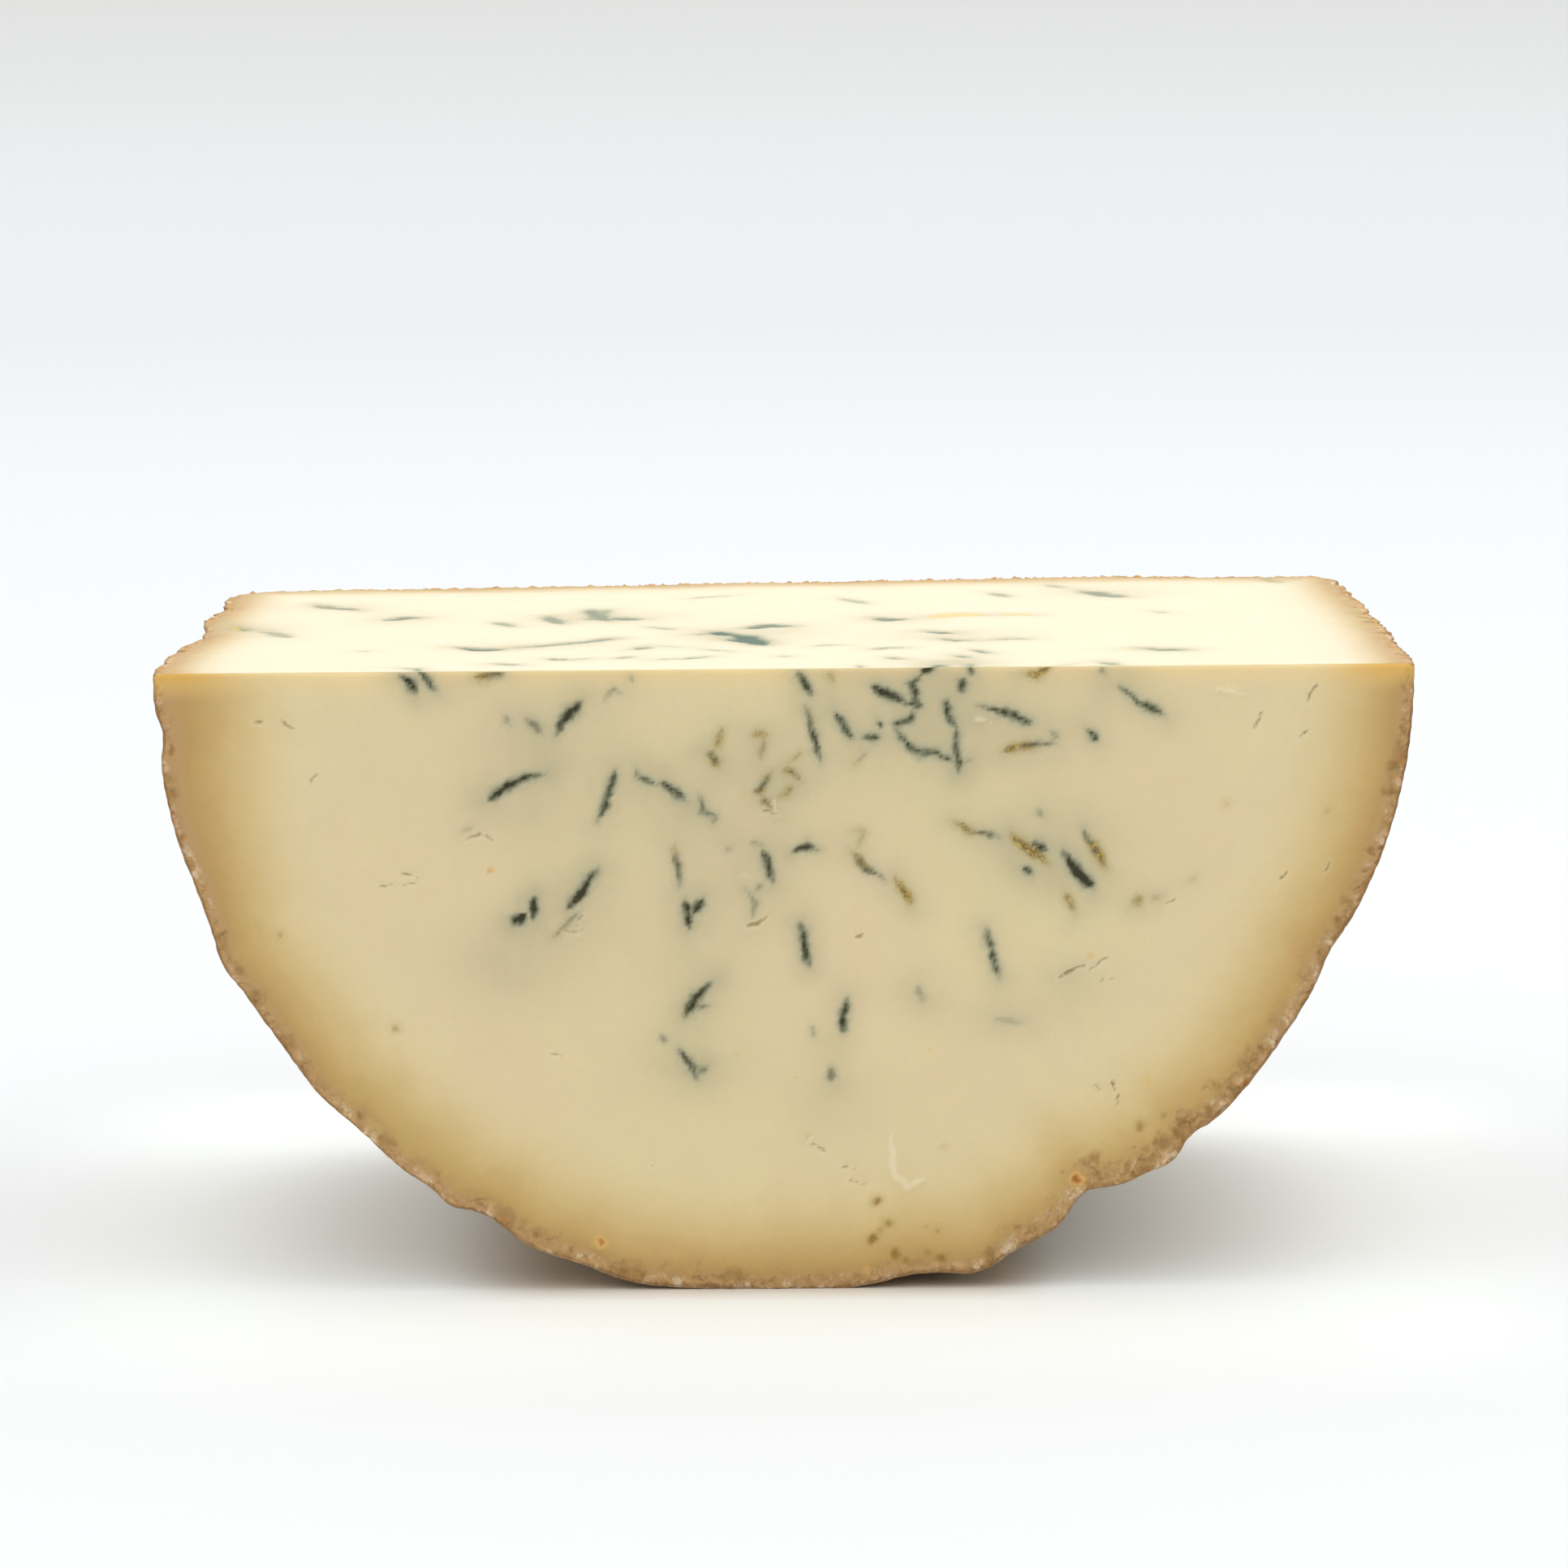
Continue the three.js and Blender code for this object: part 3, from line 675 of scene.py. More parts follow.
@dataclass
class CutSurface:
    """What the marks do to one cut face, at each of its places."""

    across: Array
    away: Array
    vein: Array = field(init=False)
    dark: Array = field(init=False)
    brown: Array = field(init=False)
    halo: Array = field(init=False)
    crack: Array = field(init=False)
    orange: Array = field(init=False)
    smear: Array = field(init=False)

    FAR = -2.5  # the level of a place that is far from every vein or crack
    HALO_REACH = 3.0
    HALO = 0.8
    CRACK_WIDTH = 0.55
    PIT_WIDTH = 0.8
    PIT_DARK = 0.7
    PIT_BROWN = 2.0
    BENDS = ((0.45, 7.0), (0.3, 2.4), (0.2, 1.1))  # how far and over what length marks bend
    BEND_SHIFTS = (11.0, 5.0, 3.0)
    VEIN_DEPTH = 0.3
    CRACK_DEPTH = 0.5
    SMEAR_HEIGHT = 0.3

    def __post_init__(self) -> None:
        """Start with a clean face, far from every mark."""
        count = len(self.across)
        self.vein = np.full(count, self.FAR)
        self.crack = np.full(count, self.FAR)
        self.dark, self.brown, self.halo = np.zeros((3, count))
        self.orange, self.smear = np.zeros((2, count))

    def lay(self, face: FaceMarks) -> None:
        """Lay all the marks of a face.

        Args:
            face: the marks.
        """
        self.wander(Grain(face.seed))
        self.add_veins(face.veins, face.thinning, face.softness)
        self.add_blooms(face.blooms)
        self.add_cracks(face.cracks, face.pits)
        self.add_smears(face.smears)
        self.add_orange(face.spots)

    def wander(self, grain: Grain) -> None:
        """Bend the places a little, so that straight marks come out crooked.

        Args:
            grain: the random numbers that bend them.
        """
        flat = np.column_stack([self.across, self.away, np.zeros(len(self.across))])
        sideways, along = (
            sum(
                far * grain.at(flat, length, turn * shift)
                for (far, length), shift in zip(self.BENDS, self.BEND_SHIFTS)
            )
            for turn in (1, 2)
        )
        self.across = self.across + sideways
        self.away = self.away + along

    def add_veins(self, veins: tuple[Mark, ...], thinning: float, softness: float) -> None:
        """Lay the veins on the face.

        Args:
            veins: the veins, each of which also stains the paste round it.
            thinning: their width against the stated one.
            softness: of their edges, 1 for crisp ones.
        """
        for vein in veins:
            gap, share = vein.measure(self.across, self.away)
            level = (thinning * vein.half_width(share) - gap) / softness
            side = np.where(share < vein.thick, vein.thick, 1.0 - vein.thick)
            fading = 1.0 - 0.5 * np.abs((share - vein.thick) / side) ** 3
            wins = level > self.vein
            self.vein = np.where(wins, level, self.vein)
            self.dark = np.where(wins, vein.dark * fading, self.dark)
            first, last = vein.brown
            self.brown = np.where(wins, first + (last - first) * share, self.brown)
            stain = vein.dark * min(vein.width, 1.0) * bump(gap / self.HALO_REACH)
            self.halo = self.halo + self.HALO * stain * (1.0 - self.halo)

    def add_blooms(self, blooms: tuple[Bloom, ...]) -> None:
        """Stain the paste round groups of veins."""
        for bloom in blooms:
            self.halo = self.halo + bloom.cover(self.across, self.away) * (1.0 - self.halo)

    def add_cracks(self, cracks: tuple[Mark, ...], pits: tuple[Spot, ...]) -> None:
        """Open small cracks and pits.

        Args:
            cracks: the slits.
            pits: the round holes.
        """
        for crack in cracks:
            gap, share = crack.measure(self.across, self.away)
            level = self.CRACK_WIDTH * crack.dark * crack.half_width(share) - gap
            self.crack = np.maximum(self.crack, level)
        for pit in pits:
            gap = np.hypot(self.across - pit.across, self.away - pit.away)
            level = self.PIT_WIDTH * pit.radius - gap
            wins = level > self.vein
            self.vein = np.where(wins, level, self.vein)
            self.dark = np.where(wins, self.PIT_DARK * pit.strength, self.dark)
            self.brown = np.where(wins, self.PIT_BROWN, self.brown)

    def add_smears(self, smears: tuple[Mark, ...]) -> None:
        """Raise ridges where the wire smeared the paste; the paste finish paints them pale, partly as a
        painted highlight.

        Args:
            smears: the ridges.
        """
        for smear in smears:
            gap, share = smear.measure(self.across, self.away)
            self.smear = np.maximum(self.smear, smear.dark * bump(gap / smear.half_width(share)))

    def add_orange(self, spots: tuple[Spot, ...]) -> None:
        """Add small orange-brown spots."""
        for spot in spots:
            self.orange = np.maximum(self.orange, spot.cover(self.across, self.away))

    def hollow(self) -> Array:
        """Work out how deep the veins and cracks lie, and how high the smears stand.

        Returns:
            The depth of each place below the cut face.
        """
        veins = self.VEIN_DEPTH * self.dark * smooth_step(-0.4, 0.45, self.vein)
        cracks = self.CRACK_DEPTH * smooth_step(-0.3, 0.25, self.crack)
        return veins + cracks - self.SMEAR_HEIGHT * self.smear


# ---- The fine surface ------------------------------------------------------------------------


class Outside(Enum):
    """The outer faces of the piece."""

    FRONT_CUT = "front cut"
    LONG_CUT = "long cut"
    SIDE = "side"
    END = "end"


@dataclass(frozen=True)
class Rows:
    """Rows of points along the side: their distance behind the front cut and their wheel radius."""

    behind: Array
    radius: Array

    FINE = (0.0, 0.3, 0.7, 1.2, 1.9, 2.7, 3.6, 4.6)
    STEP = 0.95
    RIM_STEPS = 12

    @classmethod
    def along(cls, shape: WheelShape) -> Rows:
        """Set out the rows from the front cut, round the rim, to the end.

        Args:
            shape: the smooth shape of the piece.

        Returns:
            The rows.
        """
        side_end = shape.end_middle - shape.rim - shape.front
        plain = np.linspace(cls.FINE[-1], side_end, round((side_end - cls.FINE[-1]) / cls.STEP) + 1)
        turn = np.linspace(0.0, math.pi / 2, cls.RIM_STEPS + 1)[1:]
        behind = np.concatenate([cls.FINE[:-1], plain, side_end + shape.rim * np.sin(turn)])
        straight = np.full(len(behind) - cls.RIM_STEPS, shape.radius)
        rim = shape.radius - shape.rim * (1.0 - np.cos(turn))
        return cls(behind, np.concatenate([straight, rim]))


@dataclass
class Net:
    """The points of the surface and the faces between them.

    A point lies in a direction down from the right-hand half of the long edge, at a share of the
    way out to the side, in one of the rows.
    """

    steps: int
    rows: Rows
    direction: Array = field(init=False)
    share: Array = field(init=False)
    row: Array = field(init=False)
    front: Array = field(init=False)
    long: Array = field(init=False)
    faces: dict[Outside, list[Array]] = field(init=False)

    def __post_init__(self) -> None:
        """Lay out the points and join them up."""
        self.direction, self.share = np.zeros((2, 0))
        self.row = np.zeros(0, int)
        self.faces = {outside: [] for outside in Outside}
        last = len(self.rows.behind) - 1
        fine = len(self.rows.FINE) - 1

        self.front = self._add(*self._half_disc(self.steps), 0)
        direction = self.direction[self.front[0]]
        share = self.share[self.front[0]]
        below = [self._add(direction, share, row) for row in range(1, last + 1)]
        self.long = np.vstack([self.front[0], *below])

        ring = self._ring(self.front)
        around = self.direction[ring]
        rings = [ring]
        for row in range(1, last):
            keep = around if row <= fine else around[::2]
            middle = self._add(keep[1:-1], np.ones(len(keep) - 2), row)
            rings.append(np.concatenate([self.long[row, :1], middle, self.long[row, -1:]]))
        direction, share = self._half_disc(self.steps // 2)
        end = np.vstack([self.long[last, ::2], self._add(direction[1:], share[1:], last)])
        rings.append(self._ring(end))

        self._join(Outside.FRONT_CUT, self.front)
        self._join(Outside.LONG_CUT, self.long, flip=True)
        self._join(Outside.SIDE, np.array(rings[: fine + 1]))
        self._step_down(Outside.SIDE, rings[fine], rings[fine + 1])
        self._join(Outside.SIDE, np.array(rings[fine + 1 :]))
        self._step_down(Outside.END, self.long[last], end[1], flip=True)
        self._join(Outside.END, end[1:], flip=True)

    @staticmethod
    def _half_disc(steps: int) -> tuple[Array, Array]:
        """Spread points over a half disc.

        Args:
            steps: rows of points from the long edge down.

        Returns:
            The direction and the share of each point, from right to left and from the top down.
        """
        u = np.linspace(1.0, -1.0, 2 * steps + 1)[None, :]
        v = np.linspace(0.0, 1.0, steps + 1)[:, None]
        across = u * np.sqrt(1.0 - v * v / 2.0)
        down = v * np.sqrt(1.0 - u * u / 2.0)
        return np.arctan2(down, across), np.hypot(across, down)

    @staticmethod
    def _ring(grid: Array) -> Array:
        """List a half disc's outer points from the right, round the foot, to the left."""
        return np.concatenate([grid[:, 0], grid[-1, 1:], grid[-2::-1, -1]])

    def _add(self, direction: Array, share: Array, row: int) -> Array:
        """Add points to the net.

        Args:
            direction: of each point.
            share: of each point.
            row: that the points are in.

        Returns:
            The numbers of the new points, laid out as the directions are.
        """
        first = len(self.row)
        self.direction = np.concatenate([self.direction, direction.ravel()])
        self.share = np.concatenate([self.share, share.ravel()])
        self.row = np.concatenate([self.row, np.full(direction.size, row)])
        return np.arange(first, first + direction.size).reshape(direction.shape)

    def _join(self, outside: Outside, grid: Array, flip: bool = False) -> None:
        """Join a grid of points up with four-sided faces.

        Args:
            outside: the outer face that they belong to.
            grid: numbers of the points.
            flip: turns the faces over.
        """
        corners = [grid[:-1, :-1], grid[:-1, 1:], grid[1:, 1:], grid[1:, :-1]]
        quads = np.stack([corner.ravel() for corner in corners], axis=1)
        self.faces[outside].append(quads[:, ::-1] if flip else quads)

    def _step_down(self, outside: Outside, fine: Array, coarse: Array, flip: bool = False) -> None:
        """Join a row of points to one with half as many, with five-sided faces.

        Args:
            outside: the outer face that they belong to.
            fine: the longer row.
            coarse: the shorter row.
            flip: turns the faces over.
        """
        corners = [fine[:-2:2], fine[1:-1:2], fine[2::2], coarse[1:], coarse[:-1]]
        faces = np.stack(corners, axis=1)
        self.faces[outside].append(faces[:, ::-1] if flip else faces)


@dataclass(frozen=True)
class RindRelief:
    """The knobbly relief of the rind. Each `_size` is a distance from crest to crest.

    The relief is calm beside the front cut and grows to its full height over `calm_reach`.
    """

    grain: Grain
    calm: float = 0.12
    calm_reach: tuple[float, float] = (0.5, 14.0)
    swell: float = 0.6
    swell_size: float = 17.0
    ripple: float = 0.5
    ripple_size: float = 7.5
    knob: float = 0.3
    knob_size: float = 3.6
    knob_calm: float = 0.3
    crease: float = 0.75
    crease_width: float = 0.07
    crease_size: float = 9.0
    crease_bend: float = 0.35
    crease_bend_size: float = 4.0
    crease_patch_size: float = 26.0
    pit: float = 0.7
    pit_size: float = 4.6
    sunk: float = 0.2

    def at(self, places: Array, behind: Array) -> Array:
        """Work out the relief.

        Args:
            places: on the smooth side or end, one row of x, y, z for each.
            behind: distance of each place behind the front cut.

        Returns:
            How far the rind stands out at each place, mostly below zero.
        """
        grain = self.grain
        full = self.calm + (1.0 - self.calm) * smooth_step(*self.calm_reach, behind)
        swells = self.swell * grain.at(places, self.swell_size)
        ripples = self.ripple * grain.at(places, self.ripple_size, 40.0)
        knobs = self.knob * grain.fractal(places, self.knob_size, 3, 0.55, 90.0)
        bends = self.crease_bend * grain.at(places, self.crease_bend_size, 60.0)
        folds = np.abs(grain.at(places, self.crease_size, 150.0) + bends)
        patches = smooth_step(-0.2, 0.35, grain.at(places, self.crease_patch_size))
        creases = self.crease * bump(folds / self.crease_width) * patches
        pits = self.pit * smooth_step(0.34, 0.6, grain.at(places, self.pit_size, 210.0))
        knobs = knobs * (self.knob_calm + (1.0 - self.knob_calm) * full)
        return full * (swells + ripples - creases - pits - self.sunk) + knobs


@dataclass(frozen=True)
class CutTexture:
    """The unevenness that the wire left on both cut faces, and the crumbling of the crust."""

    grain: Grain
    fade: float = 1.5
    wave: float = 0.3
    wave_size: float = 34.0
    ripple: float = 0.1
    ripple_size: float = 9.0
    ridge: float = 0.16
    ridge_size: tuple[float, float, float] = (70.0, 5.5, 70.0)
    front_sunk: float = 0.1
    long_sunk: float = 0.05
    long_waves: float = 0.6
    crumb: float = 0.6
    crumb_size: float = 2.2
    crumb_sunk: float = 0.15

    def crumbs(self, points: Array, depth: Array, crust_share: Array) -> Array:
        """Work out how deep the crust has crumbled away.

        Args:
            points: one row of x, y, z for each point.
            depth: of each point under the rind.
            crust_share: the depth as a share of the crust's thickness.

        Returns:
            The depth below the cut face.
        """
        crust = 1.0 - smooth_step(0.5, 1.3, crust_share)
        rough = self.grain.fractal(points, self.crumb_size, 2, 0.6, 20.0)
        return crust * (self.crumb_sunk + self.crumb * rough) * smooth_step(0.0, 0.5, depth)

    def sunken(self, points: Array, sink: Array, drop: Array, behind: Array) -> tuple[Array, Array]:
        """Work out how far both cut faces lie inside their flat planes.

        Args:
            points: one row of x, y, z for each point.
            sink: how far marks and crumbs sink each point.
            drop: distance of each point below the long cut.
            behind: distance of each point behind the front cut.

        Returns:
            The shift back of the front cut and the shift down of the long cut.
        """
        waves = self.wave * self.grain.at(points, self.wave_size)
        waves = waves + self.ripple * self.grain.at(points, self.ripple_size)
        ridges = self.ridge * self.grain.at(points, self.ridge_size)
        back = (self.front_sunk + waves + sink) * smooth_step(0.0, self.fade, drop)
        down = self.long_sunk + self.long_waves * waves + ridges + sink
        return back, down * smooth_step(0.0, self.fade, behind)


@dataclass
class HalfWheel:
    """The half wheel: a skin of rind round a veined paste, cut open on two sides.

    The crust's depths hold at the `crust_places`, in degrees from the right round to the left.
    """

    shape: WheelShape
    steps: int = 182
    name: str = "half_wheel_of_blue_cheese"
    edge_round: float = 0.9
    edge_wear: float = 0.3
    rind_clearance: float = 0.3
    crust_places: tuple[float, ...] = (0.0, 20.0, 38.0, 52.0, 62.0, 75.0, 90.0, 112.0, 135.0, 160.0, 180.0)
    crust_depths: tuple[float, ...] = (1.6, 2.0, 2.6, 4.0, 3.8, 2.6, 2.6, 2.4, 1.9, 1.6, 1.5)

    SEED = 7
    UV_SHEET = 330.0
    UV_GAP = 2.0
    UV_MARGIN = 1.5

    def __post_init__(self) -> None:
        """Lay out the points on the smooth shape."""
        self.rows = Rows.along(self.shape)
        self.net = Net(self.steps, self.rows)
        self.grain = Grain(self.SEED)
        self.behind = self.rows.behind[self.net.row]
        radius = self.rows.radius[self.net.row]
        self.reach = self.shape.outline(self.net.direction, self.behind, radius)
        self.points = self._place(self.reach)

    def _place(self, reach: Array) -> Array:
        """Turn directions, shares and rows into points.

        Args:
            reach: distance from the middle of the long edge out to the side, for each point.

        Returns:
            One row of x, y, z for each point.
        """
        out = self.net.share * reach
        x = self.shape.axis_x + out * np.cos(self.net.direction)
        z = self.shape.top - out * np.sin(self.net.direction)
        y = self.shape.front + self.behind
        return np.column_stack([x, y + self.shape.end_shift(x, z, y), z])

    def _among(self, numbers: Array) -> Array:
        """Tell for each point whether it is among the numbered ones."""
        return np.isin(np.arange(len(self.net.row)), numbers)

    def _edge(self, distance: Array) -> Array:
        """Round an edge off: how far a point moves in, at a distance from the edge."""
        near = np.clip(1.0 - distance / self.edge_round, 0.0, 1.0)
        return self.edge_wear * self.edge_round * near * near

    def _outwards(self) -> Array:
        """Find the place on the smooth side or rim that lies outwards from each point.

        Returns:
            One row of x, y, z for each point.
        """
        middle = np.array([self.shape.axis_x, 0.0, self.shape.top])
        outer = 1.0 / np.where(self.net.share > 0.0, self.net.share, 1.0)
        return middle + (self.points - middle) * np.column_stack([outer, np.ones(len(outer)), outer])

    def _under_rind(self, smooth_reach: Array, on_front: Array, on_long: Array) -> Array:
        """Work out how deep each point of the cut faces lies under the rind.

        Args:
            smooth_reach: the distance out to the smooth side, for each point.
            on_front: whether each point is on the front cut.
            on_long: whether each point is on the long cut.

        Returns:
            The depths, which are zero on the rind itself.
        """
        x, y, z = self.points.T
        shape = self.shape
        to_rind = (1.0 - self.net.share) * self.reach
        to_smooth = smooth_reach - self.net.share * self.reach
        depth = to_rind + (to_smooth - to_rind) * smooth_step(1.5, 5.0, to_rind)
        furthest = np.full(len(x), shape.front + shape.depth)
        to_end = shape.end_middle + shape.end_shift(x, z, furthest) - y
        depth = np.where(on_long, np.minimum(depth, np.maximum(to_end, 0.0)), depth)
        return np.where(on_front | on_long, np.maximum(depth, 0.0), 0.0)

    def _lay_marks(self, drop: Array) -> Array:
        """Lay the marks on both cut faces, and store what the finishes read.

        Args:
            drop: distance of each point below the long cut.

        Returns:
            How far the marks sink each point below its cut face.
        """
        count = len(drop)
        thickness = np.interp(np.degrees(self.net.direction), self.crust_places, self.crust_depths)
        self.marks = {
            "vein": np.tile([CutSurface.FAR, 0.0, 0.0], (count, 1)),
            "stain": np.tile([0.0, 0.0, CutSurface.FAR], (count, 1)),
            "rind": np.column_stack([self.depth, self.relief, np.zeros(count)]),
            "edge": np.column_stack([np.zeros((count, 2)), self.depth / thickness]),
        }
        sink = np.zeros(count)
        front, long = self.net.front.ravel(), self.net.long[1:].ravel()
        for chosen, away, face in ((front, drop, FRONT_MARKS), (long, self.behind, TOP_MARKS)):
            cut = CutSurface(self.points[chosen, 0], away[chosen])
            cut.lay(face)
            self.marks["vein"][chosen] = np.column_stack([cut.vein, cut.dark, cut.brown])
            self.marks["stain"][chosen] = np.column_stack([cut.halo, cut.orange, cut.crack])
            self.marks["rind"][chosen, 2] = cut.smear
            self.marks["edge"][chosen, 0] = away[chosen]
            sink[chosen] = cut.hollow()
        self.marks["edge"][front, 1] = 1.0
        return sink

    def shape_surface(self) -> None:
        """Move the points from the smooth shape to the real surface, and read off its marks."""
        net, shape = self.net, self.shape
        on_front, on_long = self._among(net.front), self._among(net.long)
        on_end = (net.row == net.row.max()) & ~on_long & (net.share < 1.0)

        places = np.where(on_end[:, None], self.points, self._outwards())
        self.relief = RindRelief(self.grain).at(places, places[:, 1] - shape.front)
        smooth_reach = self.reach
        side_relief = np.where(on_end, 0.0, self.relief)
        self.reach = smooth_reach + side_relief - 0.5 * self._edge(self.behind)
        self.points = self._place(self.reach)
        self.depth = self._under_rind(smooth_reach, on_front, on_long)

        x, y, z = self.points.T
        drop = shape.top - z
        sink = self._lay_marks(drop)
        texture = CutTexture(self.grain)
        sink = sink + texture.crumbs(self.points, self.depth, self.marks["edge"][:, 2])
        back, down = texture.sunken(self.points, sink, drop, self.behind)
        y = np.where(on_front, y + back + self._edge(drop) + self._edge(self.depth), y)
        y = np.where(on_end, y + self.relief, y)
        ceiling = np.where(on_front, shape.top, shape.top - self.rind_clearance)
        lowered = z - down - self._edge(self.behind) - self._edge(self.depth)
        z = np.where(on_long, lowered, np.minimum(z, ceiling))
        self.points = np.column_stack([x, y, np.maximum(z, 0.0)])

    def _unwrap(self, outside: Outside, corner: Array) -> Array:
        """Lay one outer face out flat beside the others, for its baked finish.

        Args:
            outside: which outer face.
            corner: numbers of the points at its faces' corners.

        Returns:
            The place of each corner on the sheet, in millimetres.
        """
        shape, gap = self.shape, self.UV_GAP
        half = shape.radius + self.UV_MARGIN
        x, y, z = self.points[corner].T
        x = x + half
        y = y - shape.front
        above = shape.depth + 2.0 * gap
        if outside is Outside.SIDE:
            arc = shape.radius * self.net.direction[corner]
            return np.column_stack([gap + arc, gap + self._along(corner)])
        if outside is Outside.FRONT_CUT:
            return np.column_stack([gap + x, above + z])
        if outside is Outside.LONG_CUT:
            return np.column_stack([2.0 * half + 2.0 * gap + y, above + x])
        return np.column_stack([gap + x, above + shape.top + gap + 1.0 + z])

    def _along(self, corner: Array) -> Array:
        """Measure how far points are from the front cut, over the rim.

        Args:
            corner: numbers of the points.

        Returns:
            The distances.
        """
        inwards = (self.shape.radius - self.rows.radius) / self.shape.rim
        turned = np.arccos(np.clip(1.0 - inwards, -1.0, 1.0))
        side_end = self.rows.behind[-Rows.RIM_STEPS - 1]
        travelled = np.minimum(self.rows.behind, side_end) + self.shape.rim * turned
        return travelled[self.net.row[corner]]

    def build(self, paste: bpy.types.Material, rind: bpy.types.Material) -> bpy.types.Object:
        """Make the piece.

        Args:
            paste: finish of the two cut faces.
            rind: finish of the side and the end.

        Returns:
            The finished object.
        """
        self.shape_surface()
        mesh = bpy.data.meshes.new(self.name)
        parts = [(outside, faces) for outside in Outside for faces in self.net.faces[outside]]
        corners = np.concatenate([faces.ravel() for _, faces in parts])
        sizes = np.concatenate([np.full(len(faces), faces.shape[1]) for _, faces in parts])
        is_rind = np.concatenate([
            np.full(len(faces), int(outside in (Outside.SIDE, Outside.END))) for outside, faces in parts
        ])
        sheet = np.vstack([self._unwrap(outside, faces.ravel()) for outside, faces in parts])

        mesh.vertices.add(len(self.points))
        mesh.vertices.foreach_set("co", (self.points * MM).ravel())
        mesh.loops.add(len(corners))
        mesh.loops.foreach_set("vertex_index", corners)
        mesh.polygons.add(len(sizes))
        mesh.polygons.foreach_set("loop_start", np.concatenate([[0], np.cumsum(sizes)[:-1]]))
        mesh.update(calc_edges=True)
        mesh.polygons.foreach_set("material_index", is_rind)
        mesh.shade_smooth()
        layer = mesh.uv_layers.new(name="OFBake")
        layer.uv.foreach_set("vector", (sheet / self.UV_SHEET).ravel())
        for label, values in self.marks.items():
            attribute = mesh.attributes.new(label, "FLOAT_VECTOR", "POINT")
            attribute.data.foreach_set("vector", values.ravel())
        mesh.materials.append(paste)
        mesh.materials.append(rind)
        mesh.update()
        piece = bpy.data.objects.new(self.name, mesh)
        bpy.context.scene.collection.objects.link(piece)
        return piece


# ---- Shader maths ----------------------------------------------------------------------------

Colour = tuple[float, float, float, float]


def tone(red: int, green: int, blue: int) -> Colour:
    """Turn a colour named by screen values, 0 to 255, into the linear colour of a shader.

    Args:
        red: first channel.
        green: second channel.
        blue: third channel.

    Returns:
        The colour, with full cover.
    """

    def linear(value: float) -> float:
        """Undo the screen's curve for one channel."""
        return value / 12.92 if value <= 0.04045 else ((value + 0.055) / 1.055) ** 2.4

    return (linear(red / 255), linear(green / 255), linear(blue / 255), 1.0)


class Field:
    """A value or colour that changes over a surface, and that can be used in sums."""

    def __init__(self, bench: Bench, socket: bpy.types.NodeSocket) -> None:
        """Wrap an output socket of a node on a bench."""
        self.bench = bench
        self.socket = socket

    def _maths(self, operation: str, left: Field | float, right: Field | float) -> Field:
        """Add a Math node for one operation on two values."""
        return self.bench.make("ShaderNodeMath", {"operation": operation}, {0: left, 1: right})

    def __add__(self, other: Field | float) -> Field:
        """Add."""
        return self._maths("ADD", self, other)

    def __radd__(self, other: float) -> Field:
        """Add to a number."""
        return self._maths("ADD", other, self)

    def __sub__(self, other: Field | float) -> Field:
        """Subtract."""
        return self._maths("SUBTRACT", self, other)

    def __rsub__(self, other: float) -> Field:
        """Subtract from a number."""
        return self._maths("SUBTRACT", other, self)

    def __mul__(self, other: Field | float) -> Field:
        """Multiply."""
        return self._maths("MULTIPLY", self, other)

    def __rmul__(self, other: float) -> Field:
        """Multiply a number."""
        return self._maths("MULTIPLY", other, self)

    def __truediv__(self, other: Field | float) -> Field:
        """Divide."""
        return self._maths("DIVIDE", self, other)

    def at_least(self, other: Field | float) -> Field:
        """Take the greater value."""
        return self._maths("MAXIMUM", self, other)

    def at_most(self, other: Field | float) -> Field:
        """Take the smaller value."""
        return self._maths("MINIMUM", self, other)

    def step(self, low: float, high: float) -> Field:
        """Rise smoothly from 0 to 1, or fall if low is the greater.

        Args:
            low: value at which the step is 0.
            high: value at which the step is 1.

        Returns:
            The stepped value.
        """
        settings = {"interpolation_type": "SMOOTHSTEP"}
        sockets = {"Value": self, "From Min": low, "From Max": high}
        return self.bench.make("ShaderNodeMapRange", settings, sockets)

    def parts(self) -> tuple[Field, Field, Field]:
        """Split a vector into its three numbers."""
        node = self.bench.node("ShaderNodeSeparateXYZ", {}, {0: self})
        return tuple(Field(self.bench, node.outputs[k]) for k in range(3))


